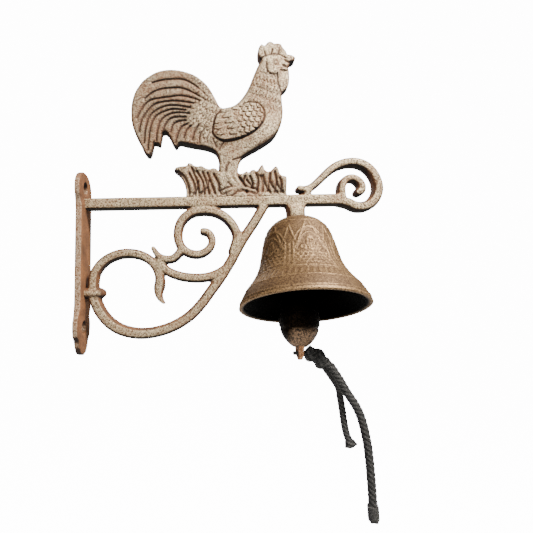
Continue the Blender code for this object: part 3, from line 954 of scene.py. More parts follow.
    def collar(self) -> bpy.types.Object:
        """The beaded collar where the brace and the upper arc meet the plate.

        Returns:
            The new piece.
        """
        profile = ((2.0, 4.6), (8.0, 4.9), (12.0, 5.0), (16.0, 4.9), (18.4, 4.2), (21.0, 2.4), (21.9, 0.0))
        widening = (self.half_depth + 1.4) / 5.0
        points, faces = [], []
        count = 20
        for x, half in profile[:-1]:
            for k in range(count):
                a = 2 * math.pi * k / count
                points.append((x, widening * half * math.cos(a), self.collar_z + half * math.sin(a)))
        for r in range(len(profile) - 2):
            for k in range(count):
                n = (k + 1) % count
                faces.append((r * count + k, r * count + n, (r + 1) * count + n, (r + 1) * count + k))
        points.append((profile[-1][0], 0, self.collar_z))
        tip = len(points) - 1
        base = (len(profile) - 2) * count
        faces += [(base + k, base + (k + 1) % count, tip) for k in range(count)]
        faces.append(tuple(range(count)))
        return mesh_object("collar", points, faces)


@dataclass
class WallPlate:
    """The plate with its two ears, a little thinner at the ears."""

    half_width: float = 12.5
    ear_half: float = 16.0
    screw_z: float = 56.5
    screw_r: float = 5.3
    top: float = 70.0
    bottom: float = -77.5
    thick: float = 5.5
    ear_thick: float = 4.4

    def outline(self) -> list[Point2]:
        """The plate's (y, z) outline.

        Returns:
            Corners in order.
        """
        s, ear, strip = self.screw_z, self.ear_half, self.half_width
        half = [
            (0, self.top), (6.5, self.top - 0.8), (11.5, self.top - 3.8), (14.8, self.top - 8.6), (ear, s),
            (15.2, s - 6.5), (13.2, s - 12), (strip, s - 18), (strip, 18 - s), (13.4, 11 - s), (15.6, 5 - s),
            (ear, -s), (14.6, -s - 6), (11.2, -s - 10), (9.6, -s - 14.5), (6.2, self.bottom + 2),
            (0, self.bottom)]
        return half + [(-y, z) for y, z in reversed(half[1:-1])]

    def build(self, effects: SharedEffects) -> bpy.types.Object:
        """The plate, bored for its screws.

        Args:
            effects: The shader groups that the finishes share.

        Returns:
            The new piece.
        """
        made = slab("wall_plate", self.outline(), self.thick / 2)
        made.data.transform(Matrix.Rotation(math.pi / 2, 4, "Z"))
        made.data.transform(Matrix.Translation((self.thick / 2 * MM, 0, 0)))
        tools = []
        for side in (1, -1):
            tool = mesh_object("screw_hole", *self.hole(side * self.screw_z))
            cut = made.modifiers.new("hole", "BOOLEAN")
            cut.operation = "DIFFERENCE"
            cut.object = tool
            tools.append(tool)
        applied(made)
        for tool in tools:
            bpy.data.objects.remove(tool)
        cast_skin_mesh(made, 0.7, 2)
        points = coordinates(made)
        ear = np.clip((np.abs(points[:, 2]) - 40) / 8, 0, 1)
        points[:, 0] *= 1 - (1 - self.ear_thick / self.thick) * ear * ear * (3 - 2 * ear)
        points[:, 0] = np.maximum(points[:, 0], 0)
        set_coordinates(made, points)
        iron = CastIronFinish("plate_cast_iron", rust=(0.30, 0.125, 0.048), umber=(0.10, 0.045, 0.020),
                              paint=0.75, silver=(0.66, 0.50, 0.33))
        made.data.materials.append(iron.build(effects))
        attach(made, Body.BRACKET.value)
        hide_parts("wall_plate")
        return made

    def hole(self, z: float) -> tuple[list[Point3], list[tuple[int, ...]]]:
        """Points and faces of a drill through the plate, slightly wider at the front.

        Args:
            z: Height of the hole's middle.

        Returns:
            The points and the faces.
        """
        count = 32
        rows = ((-3.0, self.screw_r), (self.ear_thick, self.screw_r), (9.0, self.screw_r + 2.6))
        points = [(x, r * math.cos(2 * math.pi * k / count), z + r * math.sin(2 * math.pi * k / count))
                  for x, r in rows for k in range(count)]
        faces = [(r * count + k, r * count + (k + 1) % count, (r + 1) * count + (k + 1) % count,
                  (r + 1) * count + k) for r in range(2) for k in range(count)]
        faces += [tuple(range(count)), tuple(range(2 * count, 3 * count))]
        return points, faces


# ---------------------------------------------------------------- rooster and grass


@dataclass
class Rooster:
    """The rooster in high relief on both faces: tail, wing, hackle, head and legs."""

    rim: float = 2.6
    voxel: float = 0.55
    outline: tuple[Point2, ...] = (
        (153.5, 167.9), (151.5, 172.6), (152.0, 179.2), (155.1, 183.5), (157.4, 181.6), (160.0, 184.6),
        (163.1, 185.8), (166.1, 183.7), (169.2, 184.0), (171.9, 183.4), (173.5, 180.0), (176.0, 176.7),
        (177.1, 173.4), (180.2, 173.0), (184.0, 170.0), (182.1, 166.8), (178.9, 164.9), (177.4, 162.1),
        (177.8, 155.6), (177.3, 147.2), (175.4, 142.4), (172.2, 139.2), (170.2, 136.4), (170.2, 128.8),
        (170.6, 121.5), (169.9, 115.2), (168.3, 108.9), (165.4, 102.6), (160.8, 96.9), (154.7, 92.5),
        (148.5, 88.8), (141.5, 84.9), (135.5, 81.4), (132.8, 78.2), (131.4, 73.9), (130.4, 69.8),
        (129.6, 60.0), (116.4, 60.0), (114.6, 72.0), (115.0, 77.6), (114.3, 82.0), (112.3, 85.6),
        (108.2, 88.1), (102.7, 89.7), (95.1, 91.4), (88.4, 92.8), (83.4, 94.2), (81.6, 93.4),
        (79.9, 90.3), (78.1, 91.6), (76.2, 94.9), (74.6, 99.0), (72.5, 102.5), (70.4, 104.2),
        (68.4, 102.8), (67.4, 98.6), (66.1, 92.6), (63.6, 93.8), (61.0, 94.7), (60.2, 90.8),
        (58.9, 85.8), (57.2, 83.1), (55.0, 84.0), (52.2, 88.3), (49.7, 94.0), (46.6, 100.2),
        (44.3, 106.0), (42.6, 113.1), (42.2, 121.2), (42.7, 129.3), (44.8, 137.4), (48.2, 144.2),
        (52.5, 149.7), (57.7, 153.8), (63.7, 157.2), (70.6, 159.0), (77.5, 159.3), (84.4, 158.4),
        (91.3, 156.2), (97.3, 153.2), (103.2, 148.6), (108.1, 142.7), (111.9, 135.8), (114.6, 129.9),
        (116.8, 125.6), (120.0, 124.0), (125.0, 124.8), (130.2, 127.4), (134.7, 131.5), (139.3, 137.9),
        (143.0, 144.7), (146.3, 152.6), (149.7, 160.4), (152.2, 165.4))
    tail: tuple[tuple[Point2, ...], ...] = (
        ((60, 147), (67, 149), (75, 150), (85, 150), (92, 147), (100, 141), (107, 133)),
        ((54, 133), (60, 138), (67, 141), (75, 142), (84, 142), (92, 139), (100, 134), (109, 128)),
        ((47, 116), (52, 125), (58, 131), (67, 133), (75, 134), (84, 135), (93, 133), (101, 130)),
        ((49, 104), (51, 114), (57, 123), (63, 128), (73, 130), (83, 130), (95, 128)),
        ((53, 94), (54, 105), (57, 116), (63, 122), (72, 126), (82, 126), (92, 124)),
        ((56, 88), (57, 99), (59, 110), (63, 117), (70, 121), (78, 123), (88, 122)),
        ((63, 96), (64, 105), (67, 113), (73, 118), (82, 120), (91, 119)),
        ((68, 102), (70, 108), (74, 114), (80, 116), (88, 116)),
        ((75, 103), (77, 109), (81, 112), (88, 113)),
        ((79, 94), (81, 101), (84, 107), (89, 110)),
        ((86, 98), (88, 104), (92, 108)), ((93, 96), (95, 103), (98, 108)),
        ((99, 94), (100, 101), (104, 106)), ((105, 93), (106, 99), (108, 104)))
    wing_edge: tuple[Point2, ...] = (
        (118, 122), (113, 116), (111, 109), (110, 102), (113, 97), (119, 94), (130, 95), (141, 99),
        (148, 104), (153, 111), (154, 119), (150, 126), (143, 128), (137, 127))
    head: tuple[tuple[Point2, ...], ...] = (
        ((158, 165), (158, 158), (160, 154), (165, 153), (167, 154)),
        ((167, 154), (167, 147), (169, 140), (171, 136)),
        ((152, 165), (155, 170), (162, 173), (169, 173), (175, 169)),
        ((157, 176), (158, 171)), ((164, 178), (163, 173)), ((170, 177), (169, 173)),
        ((174, 167), (177, 165), (180, 166)), ((172, 162), (177, 160)))
    legs: tuple[tuple[Point2, ...], ...] = (
        ((110, 97), (113, 89)), ((119, 93), (115, 87)), ((123, 76), (120, 70), (123, 63)),
        ((126, 78), (137, 81.5), (147, 87)))
    eye: Point2 = (166, 164)

    def half_thickness(self, flat: np.ndarray) -> tuple[np.ndarray, np.ndarray]:
        """Half of the rooster's thickness, and how high each point's relief is.

        Args:
            flat: Rows of x and z.

        Returns:
            The half thickness in millimetres and a mask from 0 in the grooves to 1 on the feathers.
        """
        x, z = flat[:, 0], flat[:, 1]
        ring = self.outline + (self.outline[0],)
        edge = distance_to_curves(flat, [ring], 3.0)
        full = (4.3 + 3.4 * np.exp(-((x - 141) / 24) ** 2 - ((z - 108) / 19) ** 2)
                + 1.3 * np.exp(-((x - 158) / 11) ** 2 - ((z - 145) / 22) ** 2)
                + 0.9 * np.exp(-((x - 165) / 9) ** 2 - ((z - 163) / 8) ** 2)
                + 0.8 * np.exp(-((x - 76) / 30) ** 2 - ((z - 128) / 24) ** 2))
        comb = np.clip((z - 171) / 3, 0, 1)
        full -= 1.3 * comb
        wattle = np.clip((x - 168) / 2, 0, 1) * (z < 158) * (z > 134)
        full -= 0.9 * wattle
        rise = np.clip(edge / (2.4 + 3.2 * np.clip((full - 4.3) / 3, 0, 1)), 0, 1)
        half = self.rim + (full - self.rim) * np.sqrt(1 - (1 - rise) ** 2)

        on_wing = inside(flat, self.wing_edge)
        to_wing = distance_to_curves(flat, [self.wing_edge])
        half += 0.9 * np.where(on_wing, np.clip(to_wing / 1.2, 0, 1), 0)

        to_tail = distance_to_curves(flat, self.tail)
        to_head = distance_to_curves(flat, self.head)
        to_legs = distance_to_curves(flat, self.legs)
        on_tail = np.clip((101 - x) / 14, 0, 1) * ~on_wing
        on_rump = (np.clip((x - 86) / 12, 0, 1) * np.clip((119 - x) / 4, 0, 1) * np.clip((z - 90) / 4, 0, 1)
                   * ~on_wing)
        on_neck = (np.clip((z - 118) / 8, 0, 1) * np.clip((161 - z) / 5, 0, 1) * np.clip((x - 140) / 5, 0, 1)
                   * np.clip((172 - x) / 3, 0, 1) * ~on_wing)
        shoulder = on_wing * np.clip((x - 129) / 4, 0, 1)
        flight = on_wing * np.clip((133 - x) / 4, 0, 1)
        barb = 0.5 + 0.5 * np.cos(2 * math.pi * (along_curves(flat, self.tail) + 1.1 * to_tail) / 2.1)
        rump_line, rump_rise = scales(flat + 0.9 * np.sin(flat[:, ::-1] / 5.0), -128.0, 3.2, 7.0, 0.62)
        neck_line, neck_rise = scales(flat + 0.9 * np.sin(flat[:, ::-1] / 6.0), -108.0, 3.0, 7.5, 0.62)
        small_line, small_rise = scales(flat, -150.0, 5.6, 4.2, 0.62)
        long_line, long_rise = scales(flat, -160.0, 5.2, 10.0, 0.66)
        groove = np.maximum.reduce([
            0.85 * bump(to_tail, 0.6) * np.clip((110 - x) / 6, 0.25, 1), bump(to_wing, 0.8),
            bump(to_head, 0.75), 0.9 * bump(to_legs, 0.8), 0.85 * rump_line * on_rump,
            0.9 * neck_line * on_neck, 0.95 * small_line * shoulder, 0.95 * long_line * flight])
        pillow = np.where(on_tail > 0.1, 1 - np.exp(-to_tail / 2.0), 0.75)
        lift = (0.9 * rump_rise * on_rump + 0.9 * neck_rise * on_neck + 1.1 * small_rise * shoulder
                + 1.1 * long_rise * flight)
        ridge = on_tail * np.clip(to_tail / 0.8, 0, 1)
        half += 1.0 * pillow + lift - 0.8 * groove + 0.45 * barb * ridge
        to_eye = distance_to_curves(flat, [[self.eye]])
        half += 0.5 * bump(to_eye, 1.1) - 0.45 * bump(to_eye - 2.1, 0.5)
        relief = (1 - 0.92 * groove) * (0.55 + 0.45 * pillow)
        relief *= 1 - 0.62 * (1 - barb) * ridge
        relief *= 1 - 0.30 * ((1 - neck_rise) * on_neck + (1 - rump_rise) * on_rump)
        relief *= 1 - 0.6 * bump(to_eye - 2.1, 0.6)
        relief *= 0.35 + 0.65 * np.clip(edge / 1.6, 0, 1)
        return half, relief

    def build(self, effects: SharedEffects) -> bpy.types.Object:
        """The rooster as one carved body.

        Args:
            effects: The shader groups that the finishes share.

        Returns:
            The new piece.
        """
        made = slab("rooster", [tuple(p) for p in smooth_path(self.outline, 2.0)], 4.0)
        cast_skin_mesh(made, self.voxel, 1)
        points = coordinates(made)
        half, relief = self.half_thickness(points[:, [0, 2]])
        points[:, 1] *= half / 4.0
        set_coordinates(made, points)
        set_mask(made, "relief", relief)
        iron = CastIronFinish("rooster_cast_iron", uses_relief=True, silver=(0.62, 0.495, 0.315), paint=1.0,
                              umber=(0.055, 0.026, 0.012), flat_from=0.60)
        made.data.materials.append(iron.build(effects))
        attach(made, Body.BRACKET.value)
        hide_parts("rooster")
        return made


@dataclass
class GrassTuft:
    """The tuft of grass with the rooster's feet in front of it."""

    outline: tuple[Point2, ...] = (
        (86.6, 46.0), (87.0, 50.0), (86.8, 54.7), (85.3, 60.8), (82.4, 66.0), (79.0, 69.0), (77.3, 70.8),
        (78.8, 73.0), (82.2, 73.9), (86.3, 74.2), (88.3, 74.6), (88.9, 76.8), (92.3, 76.2), (93.9, 74.5),
        (97.2, 73.6), (99.8, 74.4), (103.9, 71.9), (107.3, 71.2), (109.8, 72.2), (112.4, 71.4), (116.6, 68.5),
        (129.2, 68.5), (131.8, 66.6), (135.0, 67.4), (137.5, 69.0), (140.0, 67.2), (140.9, 69.4),
        (144.4, 70.2), (146.0, 68.4), (148.7, 72.3), (151.3, 74.4), (152.8, 70.0), (155.3, 68.2),
        (157.9, 69.1), (159.7, 70.8), (162.3, 73.0), (164.3, 70.7), (165.4, 66.3), (167.0, 64.8),
        (170.8, 63.8), (171.1, 61.0), (170.2, 50.0), (170.6, 46.0))
    blades: tuple[tuple[Point2, ...], ...] = (
        ((90, 48), (89, 56), (86, 64), (81, 69)), ((95, 48), (94, 58), (90, 67)),
        ((98, 48), (96, 61), (92, 72)), ((92, 48), (96, 54), (97, 60)),
        ((99, 50), (104, 55), (106, 61)), ((137, 50), (135, 57), (131, 63)),
        ((143, 50), (141, 56), (137, 61)),
        ((157, 49), (153, 56), (151, 64)), ((163, 49), (158, 56), (156, 62)),
        ((168, 49), (163, 56), (162, 63)),
        ((102, 49), (101, 60), (96, 69)), ((106, 49), (104, 59), (101, 68)),
        ((111, 49), (108, 58), (105, 67)), ((114, 52), (114, 58), (110, 66)),
        ((134, 53), (134, 58), (136, 64)),
        ((140, 52), (142, 58), (140, 64)), ((145, 51), (147, 61), (145, 67)),
        ((150, 51), (151, 58), (149, 64)),
        ((154, 51), (156, 59), (157, 66)), ((160, 50), (162, 59), (161, 67)),
        ((165, 50), (166, 57), (165, 62)))
    shanks: tuple[tuple[Point2, ...], ...] = (
        ((119, 72), (123, 63), (128, 56.5), (131, 54)), ((127, 72), (127.5, 64), (131, 58), (133, 55)))
    toes: tuple[tuple[Point2, ...], ...] = (
        ((131, 54), (124, 53.5), (117, 51)), ((131, 54), (137, 53.5), (144, 51)),
        ((129, 55), (126, 51), (122, 49)))

    def build(self, effects: SharedEffects) -> bpy.types.Object:
        """The tuft as one carved body.

        Args:
            effects: The shader groups that the finishes share.

        Returns:
            The new piece.
        """
        made = slab("grass_tuft", [tuple(p) for p in smooth_path(self.outline, 2.0)], 4.0)
        cast_skin_mesh(made, 0.7, 1)
        points = coordinates(made)
        flat = points[:, [0, 2]]
        edge = distance_to_curves(flat, [self.outline + (self.outline[0],)], 3.0)
        to_blade = distance_to_curves(flat, self.blades)
        to_shank = distance_to_curves(flat, self.shanks)
        to_toe = distance_to_curves(flat, self.toes)
        rise = np.clip(edge / 2.2, 0, 1)
        half = 2.4 + 1.9 * np.sqrt(1 - (1 - rise) ** 2)
        groove = bump(to_blade, 0.8)
        leg = np.maximum(np.sqrt(np.clip(1 - (to_shank / 2.7) ** 2, 0, 1)),
                         0.8 * np.sqrt(np.clip(1 - (to_toe / 1.6) ** 2, 0, 1)))
        half += 1.0 * (1 - np.exp(-to_blade / 1.6)) - 1.4 * groove * (leg < 0.05)
        foot_shadow = bump(np.minimum(to_shank - 3.0, to_toe - 2.0), 0.9)
        half = np.maximum(half, 3.0 + 2.4 * leg * (leg > 0)) - 0.8 * foot_shadow
        mound = np.clip((52.0 - flat[:, 1]) / 3, 0, 1)
        half = np.maximum(half, 4.6 * mound)
        relief = (1 - 0.95 * groove * (leg < 0.05)) * (1 - 0.95 * np.clip(foot_shadow, 0, 1))
        relief *= 0.4 + 0.6 * np.clip(edge / 1.4, 0, 1)
        points[:, 1] *= half / 4.0
        set_coordinates(made, points)
        set_mask(made, "relief", relief)
        iron = CastIronFinish("grass_cast_iron", uses_relief=True, silver=(0.62, 0.495, 0.315), paint=0.98,
                              umber=(0.05, 0.024, 0.011), flat_from=0.60)
        made.data.materials.append(iron.build(effects))
        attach(made, Body.BRACKET.value)
        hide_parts("grass_tuft")
        return made


# ---------------------------------------------------------------- bell


@dataclass
class Bell:
    """The bell, tipped on its bolt, with its raised ornament."""

    pivot: Point3 = (177.5, 0.0, 23.0)
    tilt: float = 15.6
    lean: float = 2.0
    crown: float = 4.0
    hole: float = 4.2
    wall: float = 3.5
    bays: int = 6
    bay_width: float = 31.4
    seam_turn: float = -118.0
    dashes: int = 62
    dash_level: float = 57.2
    relief: float = 0.5
    around: int = 360
    turned_lines: tuple[Point2, ...] = (
        (1.2, 0.5), (9.5, 0.45), (52.0, 0.55), (53.8, 0.35), (60.6, 0.5), (69.4, 0.5))
    profile: tuple[Point2, ...] = (
        (10.0, 0.0), (15.8, 1.4), (20.3, 4.2), (23.4, 7.8), (26.0, 13.0), (28.3, 22.0),
        (30.2, 32.0), (32.6, 42.0), (37.6, 52.0), (44.6, 61.8), (48.0, 68.8), (49.2, 72.4))

    def ornament(self, turn: np.ndarray, depth: np.ndarray) -> np.ndarray:
        """Height of the raised pattern: arches on pillars, a row of dashes and turned lines.

        Args:
            turn: Angle round the bell in radians.
            depth: Depth below the crown's top in millimetres.

        Returns:
            The height from 0 to 1.
        """
        bay = ((turn - math.radians(self.seam_turn)) * self.bays / (2 * math.pi)) % 1.0 - 0.5
        side = bay * self.bay_width
        away = np.abs(side)
        lines = np.zeros_like(turn)
        for level, width in self.turned_lines:
            lines = np.maximum(lines, bump(depth - level, width))
        pillars = np.maximum(bump(away - 12.7, 0.75), 0.8 * bump(away - 15.4, 0.5))
        pillars = pillars * (depth > 31) * (depth < 51)
        arch = bump(depth - (17.0 + 15.0 * (away / 13.5) ** 2.4), 1.0) * (away < 13.5)
        inner = bump(depth - (22.5 + 15.0 * (away / 10.8) ** 2.2), 0.65) * (away < 10.8)
        drape = bump(away - 1.2 - (depth - 11.0) * 0.42, 0.7) * (depth > 11) * (depth < 37)
        fringe = bump(away - self.bay_width / 2 + (depth - 14.0) * 0.32, 0.6) * (depth > 13) * (depth < 31)
        leaf = bump(np.hypot(side / 2.6, (depth - 32.0) / 5.6) - 1.0, 0.2)
        vein = 0.9 * bump(side, 0.4) * (np.abs(depth - 33) < 6)
        berry = bump(np.hypot(away - 5.6, depth - 35.5) - 1.6, 0.5)
        scallops = np.zeros_like(turn)
        for row in range(4):
            wave = np.abs(np.sin((side / 3.4 + 0.5 * (row % 2)) * math.pi))
            scallops = np.maximum(scallops, bump(depth - (41.5 + 2.7 * row) + 1.5 * wave, 0.55))
        scallops *= (away < 11.6) * (depth > 39)
        small = 0.7 * bump(np.sin(side * 1.5) * 1.2 - (depth - 46.5) * 0.6, 0.5)
        small = small * (away > 12.8) * (depth > 40)
        pattern = np.maximum.reduce(
            [pillars, arch, inner, drape, fringe, leaf, vein, berry, scallops, small])
        pattern = pattern * np.clip((51.4 - depth) / 0.8, 0, 1)
        slant = turn * self.dashes + (depth - self.dash_level) * 0.4
        band = np.clip(1 - (np.abs(depth - self.dash_level) / 2.7) ** 4, 0, 1)
        dashes = np.clip(1.5 * np.cos(slant) - 0.2, 0, 1) * band
        return np.clip(np.maximum.reduce([lines, pattern, 0.85 * dashes]), 0, 1)

    def build(self, effects: SharedEffects) -> bpy.types.Object:
        """The bell with its outer ornament, its lip and its hollow inside.

        Args:
            effects: The shader groups that the finishes share.

        Returns:
            The new piece.
        """
        outer = smooth_path(self.profile, 0.62)
        last = len(outer) - 1
        inner = []
        for i in range(0, last + 1, 4):
            along = (outer[min(i + 1, last)] - outer[max(i - 1, 0)]).normalized()
            place = outer[i] + Vector((-along.y, along.x)) * self.wall
            if place.y > self.crown + 1.2 and place.x > self.hole + 1:
                inner.append(place)
        lip = outer[-1]
        rounded = [Vector((lip.x + 0.1, lip.y + 0.5)), Vector((lip.x - 0.7, lip.y + 1.0)),
                   Vector((lip.x - 2.4, lip.y + 0.9)), Vector((lip.x - 3.6, lip.y + 0.1))]
        start = [Vector((self.hole, self.crown)), Vector((self.hole, 0.4)), Vector((self.hole + 0.5, 0.0))]
        loop = [*start, *outer, *rounded, *reversed(inner[:-1]), Vector((inner[0].x - 4.0, self.crown))]
        rows = np.array([tuple(p) for p in loop])
        turn = np.arange(self.around) * 2 * math.pi / self.around
        grid_turn, grid_depth = np.meshgrid(turn, rows[:, 1])
        radius = np.repeat(rows[:, :1], self.around, 1)
        first, end = len(start), len(start) + len(outer)
        raised = np.zeros_like(radius)
        raised[first:end] = self.ornament(grid_turn[first:end], grid_depth[first:end])
        slope = np.gradient(rows[:, 0]) / np.maximum(np.hypot(*np.gradient(rows, axis=0).T), 1e-6)
        radius += self.relief * raised * np.sqrt(np.clip(1 - slope[:, None] ** 2 * 0.5, 0.3, 1))
        points = np.stack([radius * np.cos(grid_turn), radius * np.sin(grid_turn),
                           self.crown / 2 - grid_depth], -1).reshape(-1, 3)
        count, n = self.around, len(rows)
        ids = np.arange(n * count).reshape(n, count)
        nxt = np.roll(ids, -1, 1)
        below, below_next = np.roll(ids, -1, 0), np.roll(nxt, -1, 0)
        faces = np.stack([ids, nxt, below_next, below], -1).reshape(-1, 4)
        made = mesh_object("bell", points.tolist(), [tuple(f) for f in faces.tolist()])
        # Painted shade: the inside and the crown's hole are marked to be coloured near black.
        hidden = np.zeros((n, count))
        hidden[end + len(rounded) - 1:] = 1.0
        hidden[end + len(rounded) - 2] = 0.6
        hidden[0] = 1.0
        set_mask(made, "inner", hidden.ravel())
        glow = raised.copy()
        glow[end - 3:end + 3] = 1.0
        set_mask(made, "relief", glow.ravel())
        low_band = np.clip((grid_depth - 60) / 6, 0, 1) * np.clip((71 - grid_depth) / 3, 0, 1) * 0.35
        set_mask(made, "shade", low_band.ravel())
        made.data.transform(Matrix.Translation([c * MM for c in self.pivot])
                            @ Matrix.Rotation(math.radians(self.lean), 4, "Y")
                            @ Matrix.Rotation(-math.radians(self.tilt), 4, "X"))
        made.data.materials.append(BellBronzeFinish("antique_bronze").build(effects))
        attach(made, Body.BELL.value)
        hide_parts("bell")
        return made


# ---------------------------------------------------------------- clapper and hardware


def lathe(name: str, profile: Sequence[Point2], at: Point3, steps: int = 48,
          wobble: Callable[[np.ndarray, np.ndarray], np.ndarray] | None = None) -> bpy.types.Object:
    """A closed turned body.

    Args:
        name: The piece's name.
        profile: (radius, height) points; the first and last close on the axis if their radius is 0.
        at: Where the axis stands.
        steps: Number of steps round the axis.
        wobble: Extra radius as a function of angle and height, for turned work that isn't quite round.

    Returns:
        The new object.
    """
    points: list[Point3] = []
    faces: list[tuple[int, ...]] = []
    starts = []
    for r, z in profile:
        starts.append(len(points))
        if r <= 0:
            points.append((at[0], at[1], at[2] + z))
            continue
        angles = np.arange(steps) * 2 * math.pi / steps
        extra = wobble(angles, np.full(steps, z)) if wobble else np.zeros(steps)
        points += [(at[0] + (r + e) * math.cos(a), at[1] + (r + e) * math.sin(a), at[2] + z)
                   for a, e in zip(angles, extra)]
    closed = profile[0][0] > 0 and profile[-1][0] > 0
    pairs = list(range(len(profile) - 1)) + ([len(profile) - 1] if closed else [])
    for i in pairs:
        j = (i + 1) % len(profile)
        tip_a, tip_b = profile[i][0] <= 0, profile[j][0] <= 0
        for k in range(steps):
            m = (k + 1) % steps
            if tip_a:
                faces.append((starts[i], starts[j] + m, starts[j] + k))
            elif tip_b:
                faces.append((starts[i] + k, starts[i] + m, starts[j]))
            else:
                faces.append((starts[i] + k, starts[i] + m, starts[j] + m, starts[j] + k))
    return mesh_object(name, points, faces)


def wire(name: str, route: Sequence[Sequence[float]], radius: float, closed: bool = False,
         sides: int = 14, step: float = 0.7) -> bpy.types.Object:
    """A round bar along a smooth curve, made a mesh.

    Args:
        name: The piece's name.
        route: Points of its middle line.
        radius: The bar's radius.
        closed: Whether the bar is a ring.
        sides: Number of sides of its section.
        step: Spacing of its sections.

    Returns:
        The new object.
    """
    path = [Vector(p) for p in route] if closed else smooth_path(route, step)
    return mesh_object(name, *sweep(path, lambda s, a: radius, sides, closed))


def sweep(path: Sequence[Vector], radius_at: Callable[[float, float], float], sides: int,
          closed: bool = False) -> tuple[list[Vector], list[tuple[int, ...]]]:
    """Points and faces of a tube whose radius depends on the way along and the angle round it.

    Args:
        path: Points of the middle line.
        radius_at: Radius as a function of arc length and angle.
        sides: Number of sides.
        closed: Whether the tube is a ring.

    Returns:
        The points and the faces.
    """
    count = len(path)
    side_way = Vector((0, 1, 0))
    points: list[Vector] = []
    gone = 0.0
    for i, here in enumerate(path):
        before = path[i - 1] if closed or i else here
        after = path[(i + 1) % count] if closed or i < count - 1 else here
        along = (after - before).normalized()
        if i == 0 and abs(along.y) > 0.9:
            side_way = Vector((0, 0, 1))
        side_way = (side_way - along * side_way.dot(along)).normalized()
        up_way = along.cross(side_way)
        if i:
            gone += (here - path[i - 1]).length
        for k in range(sides):
            a = 2 * math.pi * k / sides
            points.append(here + (side_way * math.cos(a) + up_way * math.sin(a)) * radius_at(gone, a))
    faces: list[tuple[int, ...]] = []
    for i in range(count if closed else count - 1):
        j = (i + 1) % count
        for k in range(sides):
            m = (k + 1) % sides
            faces.append((i * sides + k, i * sides + m, j * sides + m, j * sides + k))
    if not closed:
        faces += [tuple(range(sides)), tuple(range((count - 1) * sides, count * sides))]
    return points, faces


@dataclass
class Hardware:
    """The hanger bolt with its eye, the cone washer, the nut and the link."""

    x: float = 177.5
    bolt_r: float = 3.0
    eye_r: float = 3.8
    eye_wire: float = 1.4
    eye_z: float = 6.0
    link_z: float = -1.0
    thread_pitch: float = 1.0

    def ring(self, name: str, z: float) -> bpy.types.Object:
        """An eye whose hole runs along Y."""
        route = [(self.x + self.eye_r * math.cos(2 * math.pi * i / 40), 0.0,
                  z + self.eye_r * math.sin(2 * math.pi * i / 40)) for i in range(40)]
        return wire(name, route, self.eye_wire, closed=True)

    def build(self, effects: SharedEffects) -> list[bpy.types.Object]:
        """The bolt, the washer, the nut and the link.

        Args:
            effects: The shader groups that the finishes share.

        Returns:
            The new pieces.
        """
        steel = DarkMetalFinish("oiled_steel", (0.045, 0.036, 0.030), (0.20, 0.17, 0.145), 0.85, 0.45, 0.12)
        skin = steel.build(effects)
        rows = []
        z = 31.0
        while z > 10.4:
            rows += [(self.bolt_r - 0.02, z), (self.bolt_r - 0.34, z - self.thread_pitch / 2)]
            z -= self.thread_pitch
        shaft = lathe("shaft", [(0, 31.6), *rows, (2.2, 9.9), (0, 9.6)], (self.x, 0, 0), 28)
        bolt = joined("hanger_bolt", [shaft, self.ring("eye", self.eye_z)])
        cone = [(3.4, 19.7), (5.2, 19.1), (8.1, 18.1), (8.5, 17.7), (8.3, 17.2), (3.4, 17.2)]
        washer = lathe("cone_washer", cone, (self.x, 0, 0), 40)
        nut = self.nut()
        link = wire("clapper_link", self.link_route(), 1.1, closed=True)
        for piece, body, node in ((bolt, Body.BRACKET, "hanger_bolt"), (washer, Body.BRACKET, "cone_washer"),
                                  (nut, Body.BRACKET, "bell_nut"), (link, Body.LINK, "clapper_link")):
            piece.data.materials.clear()
            piece.data.materials.append(skin)
            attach(piece, body.value)
            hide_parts(node)
        return [bolt, washer, nut, link]

    def link_route(self) -> list[Point3]:
        """The oval link's middle line, from side to side round its two bows.

        Returns:
            Points of the closed line.
        """
        route = []
        for i in range(56):
            a = 2 * math.pi * i / 56
            side = 2.4 if math.sin(a) > 0.01 else -2.4 if math.sin(a) < -0.01 else 0.0
            route.append((self.x, 3.6 * math.cos(a), self.link_z + side + 3.6 * math.sin(a)))
        return route

    def nut(self) -> bpy.types.Object:
        """A hexagon nut with turned-down corners.

        Returns:
            The new piece.
        """
        rows = ((3.3, 16.9), (5.2, 16.9), (5.77, 16.3), (5.77, 12.8), (5.2, 12.2), (3.3, 12.2))

        def six_sides(angle: np.ndarray, height: np.ndarray) -> np.ndarray:
            """Brings the round blank down to six flats where it is widest.

            Args:
                angle: Angle round the axis.
                height: Height along the axis.

            Returns:
                Extra radius.
            """
            flat = 5.0 / np.cos((angle + math.pi / 6) % (math.pi / 3) - math.pi / 6)
            wide = (height < 16.6) & (height > 12.4)
            return np.where(wide, np.minimum(flat, 5.77) - 5.77, 0.0)

        return lathe("bell_nut", rows, (self.x, 0, 0), 72, six_sides)


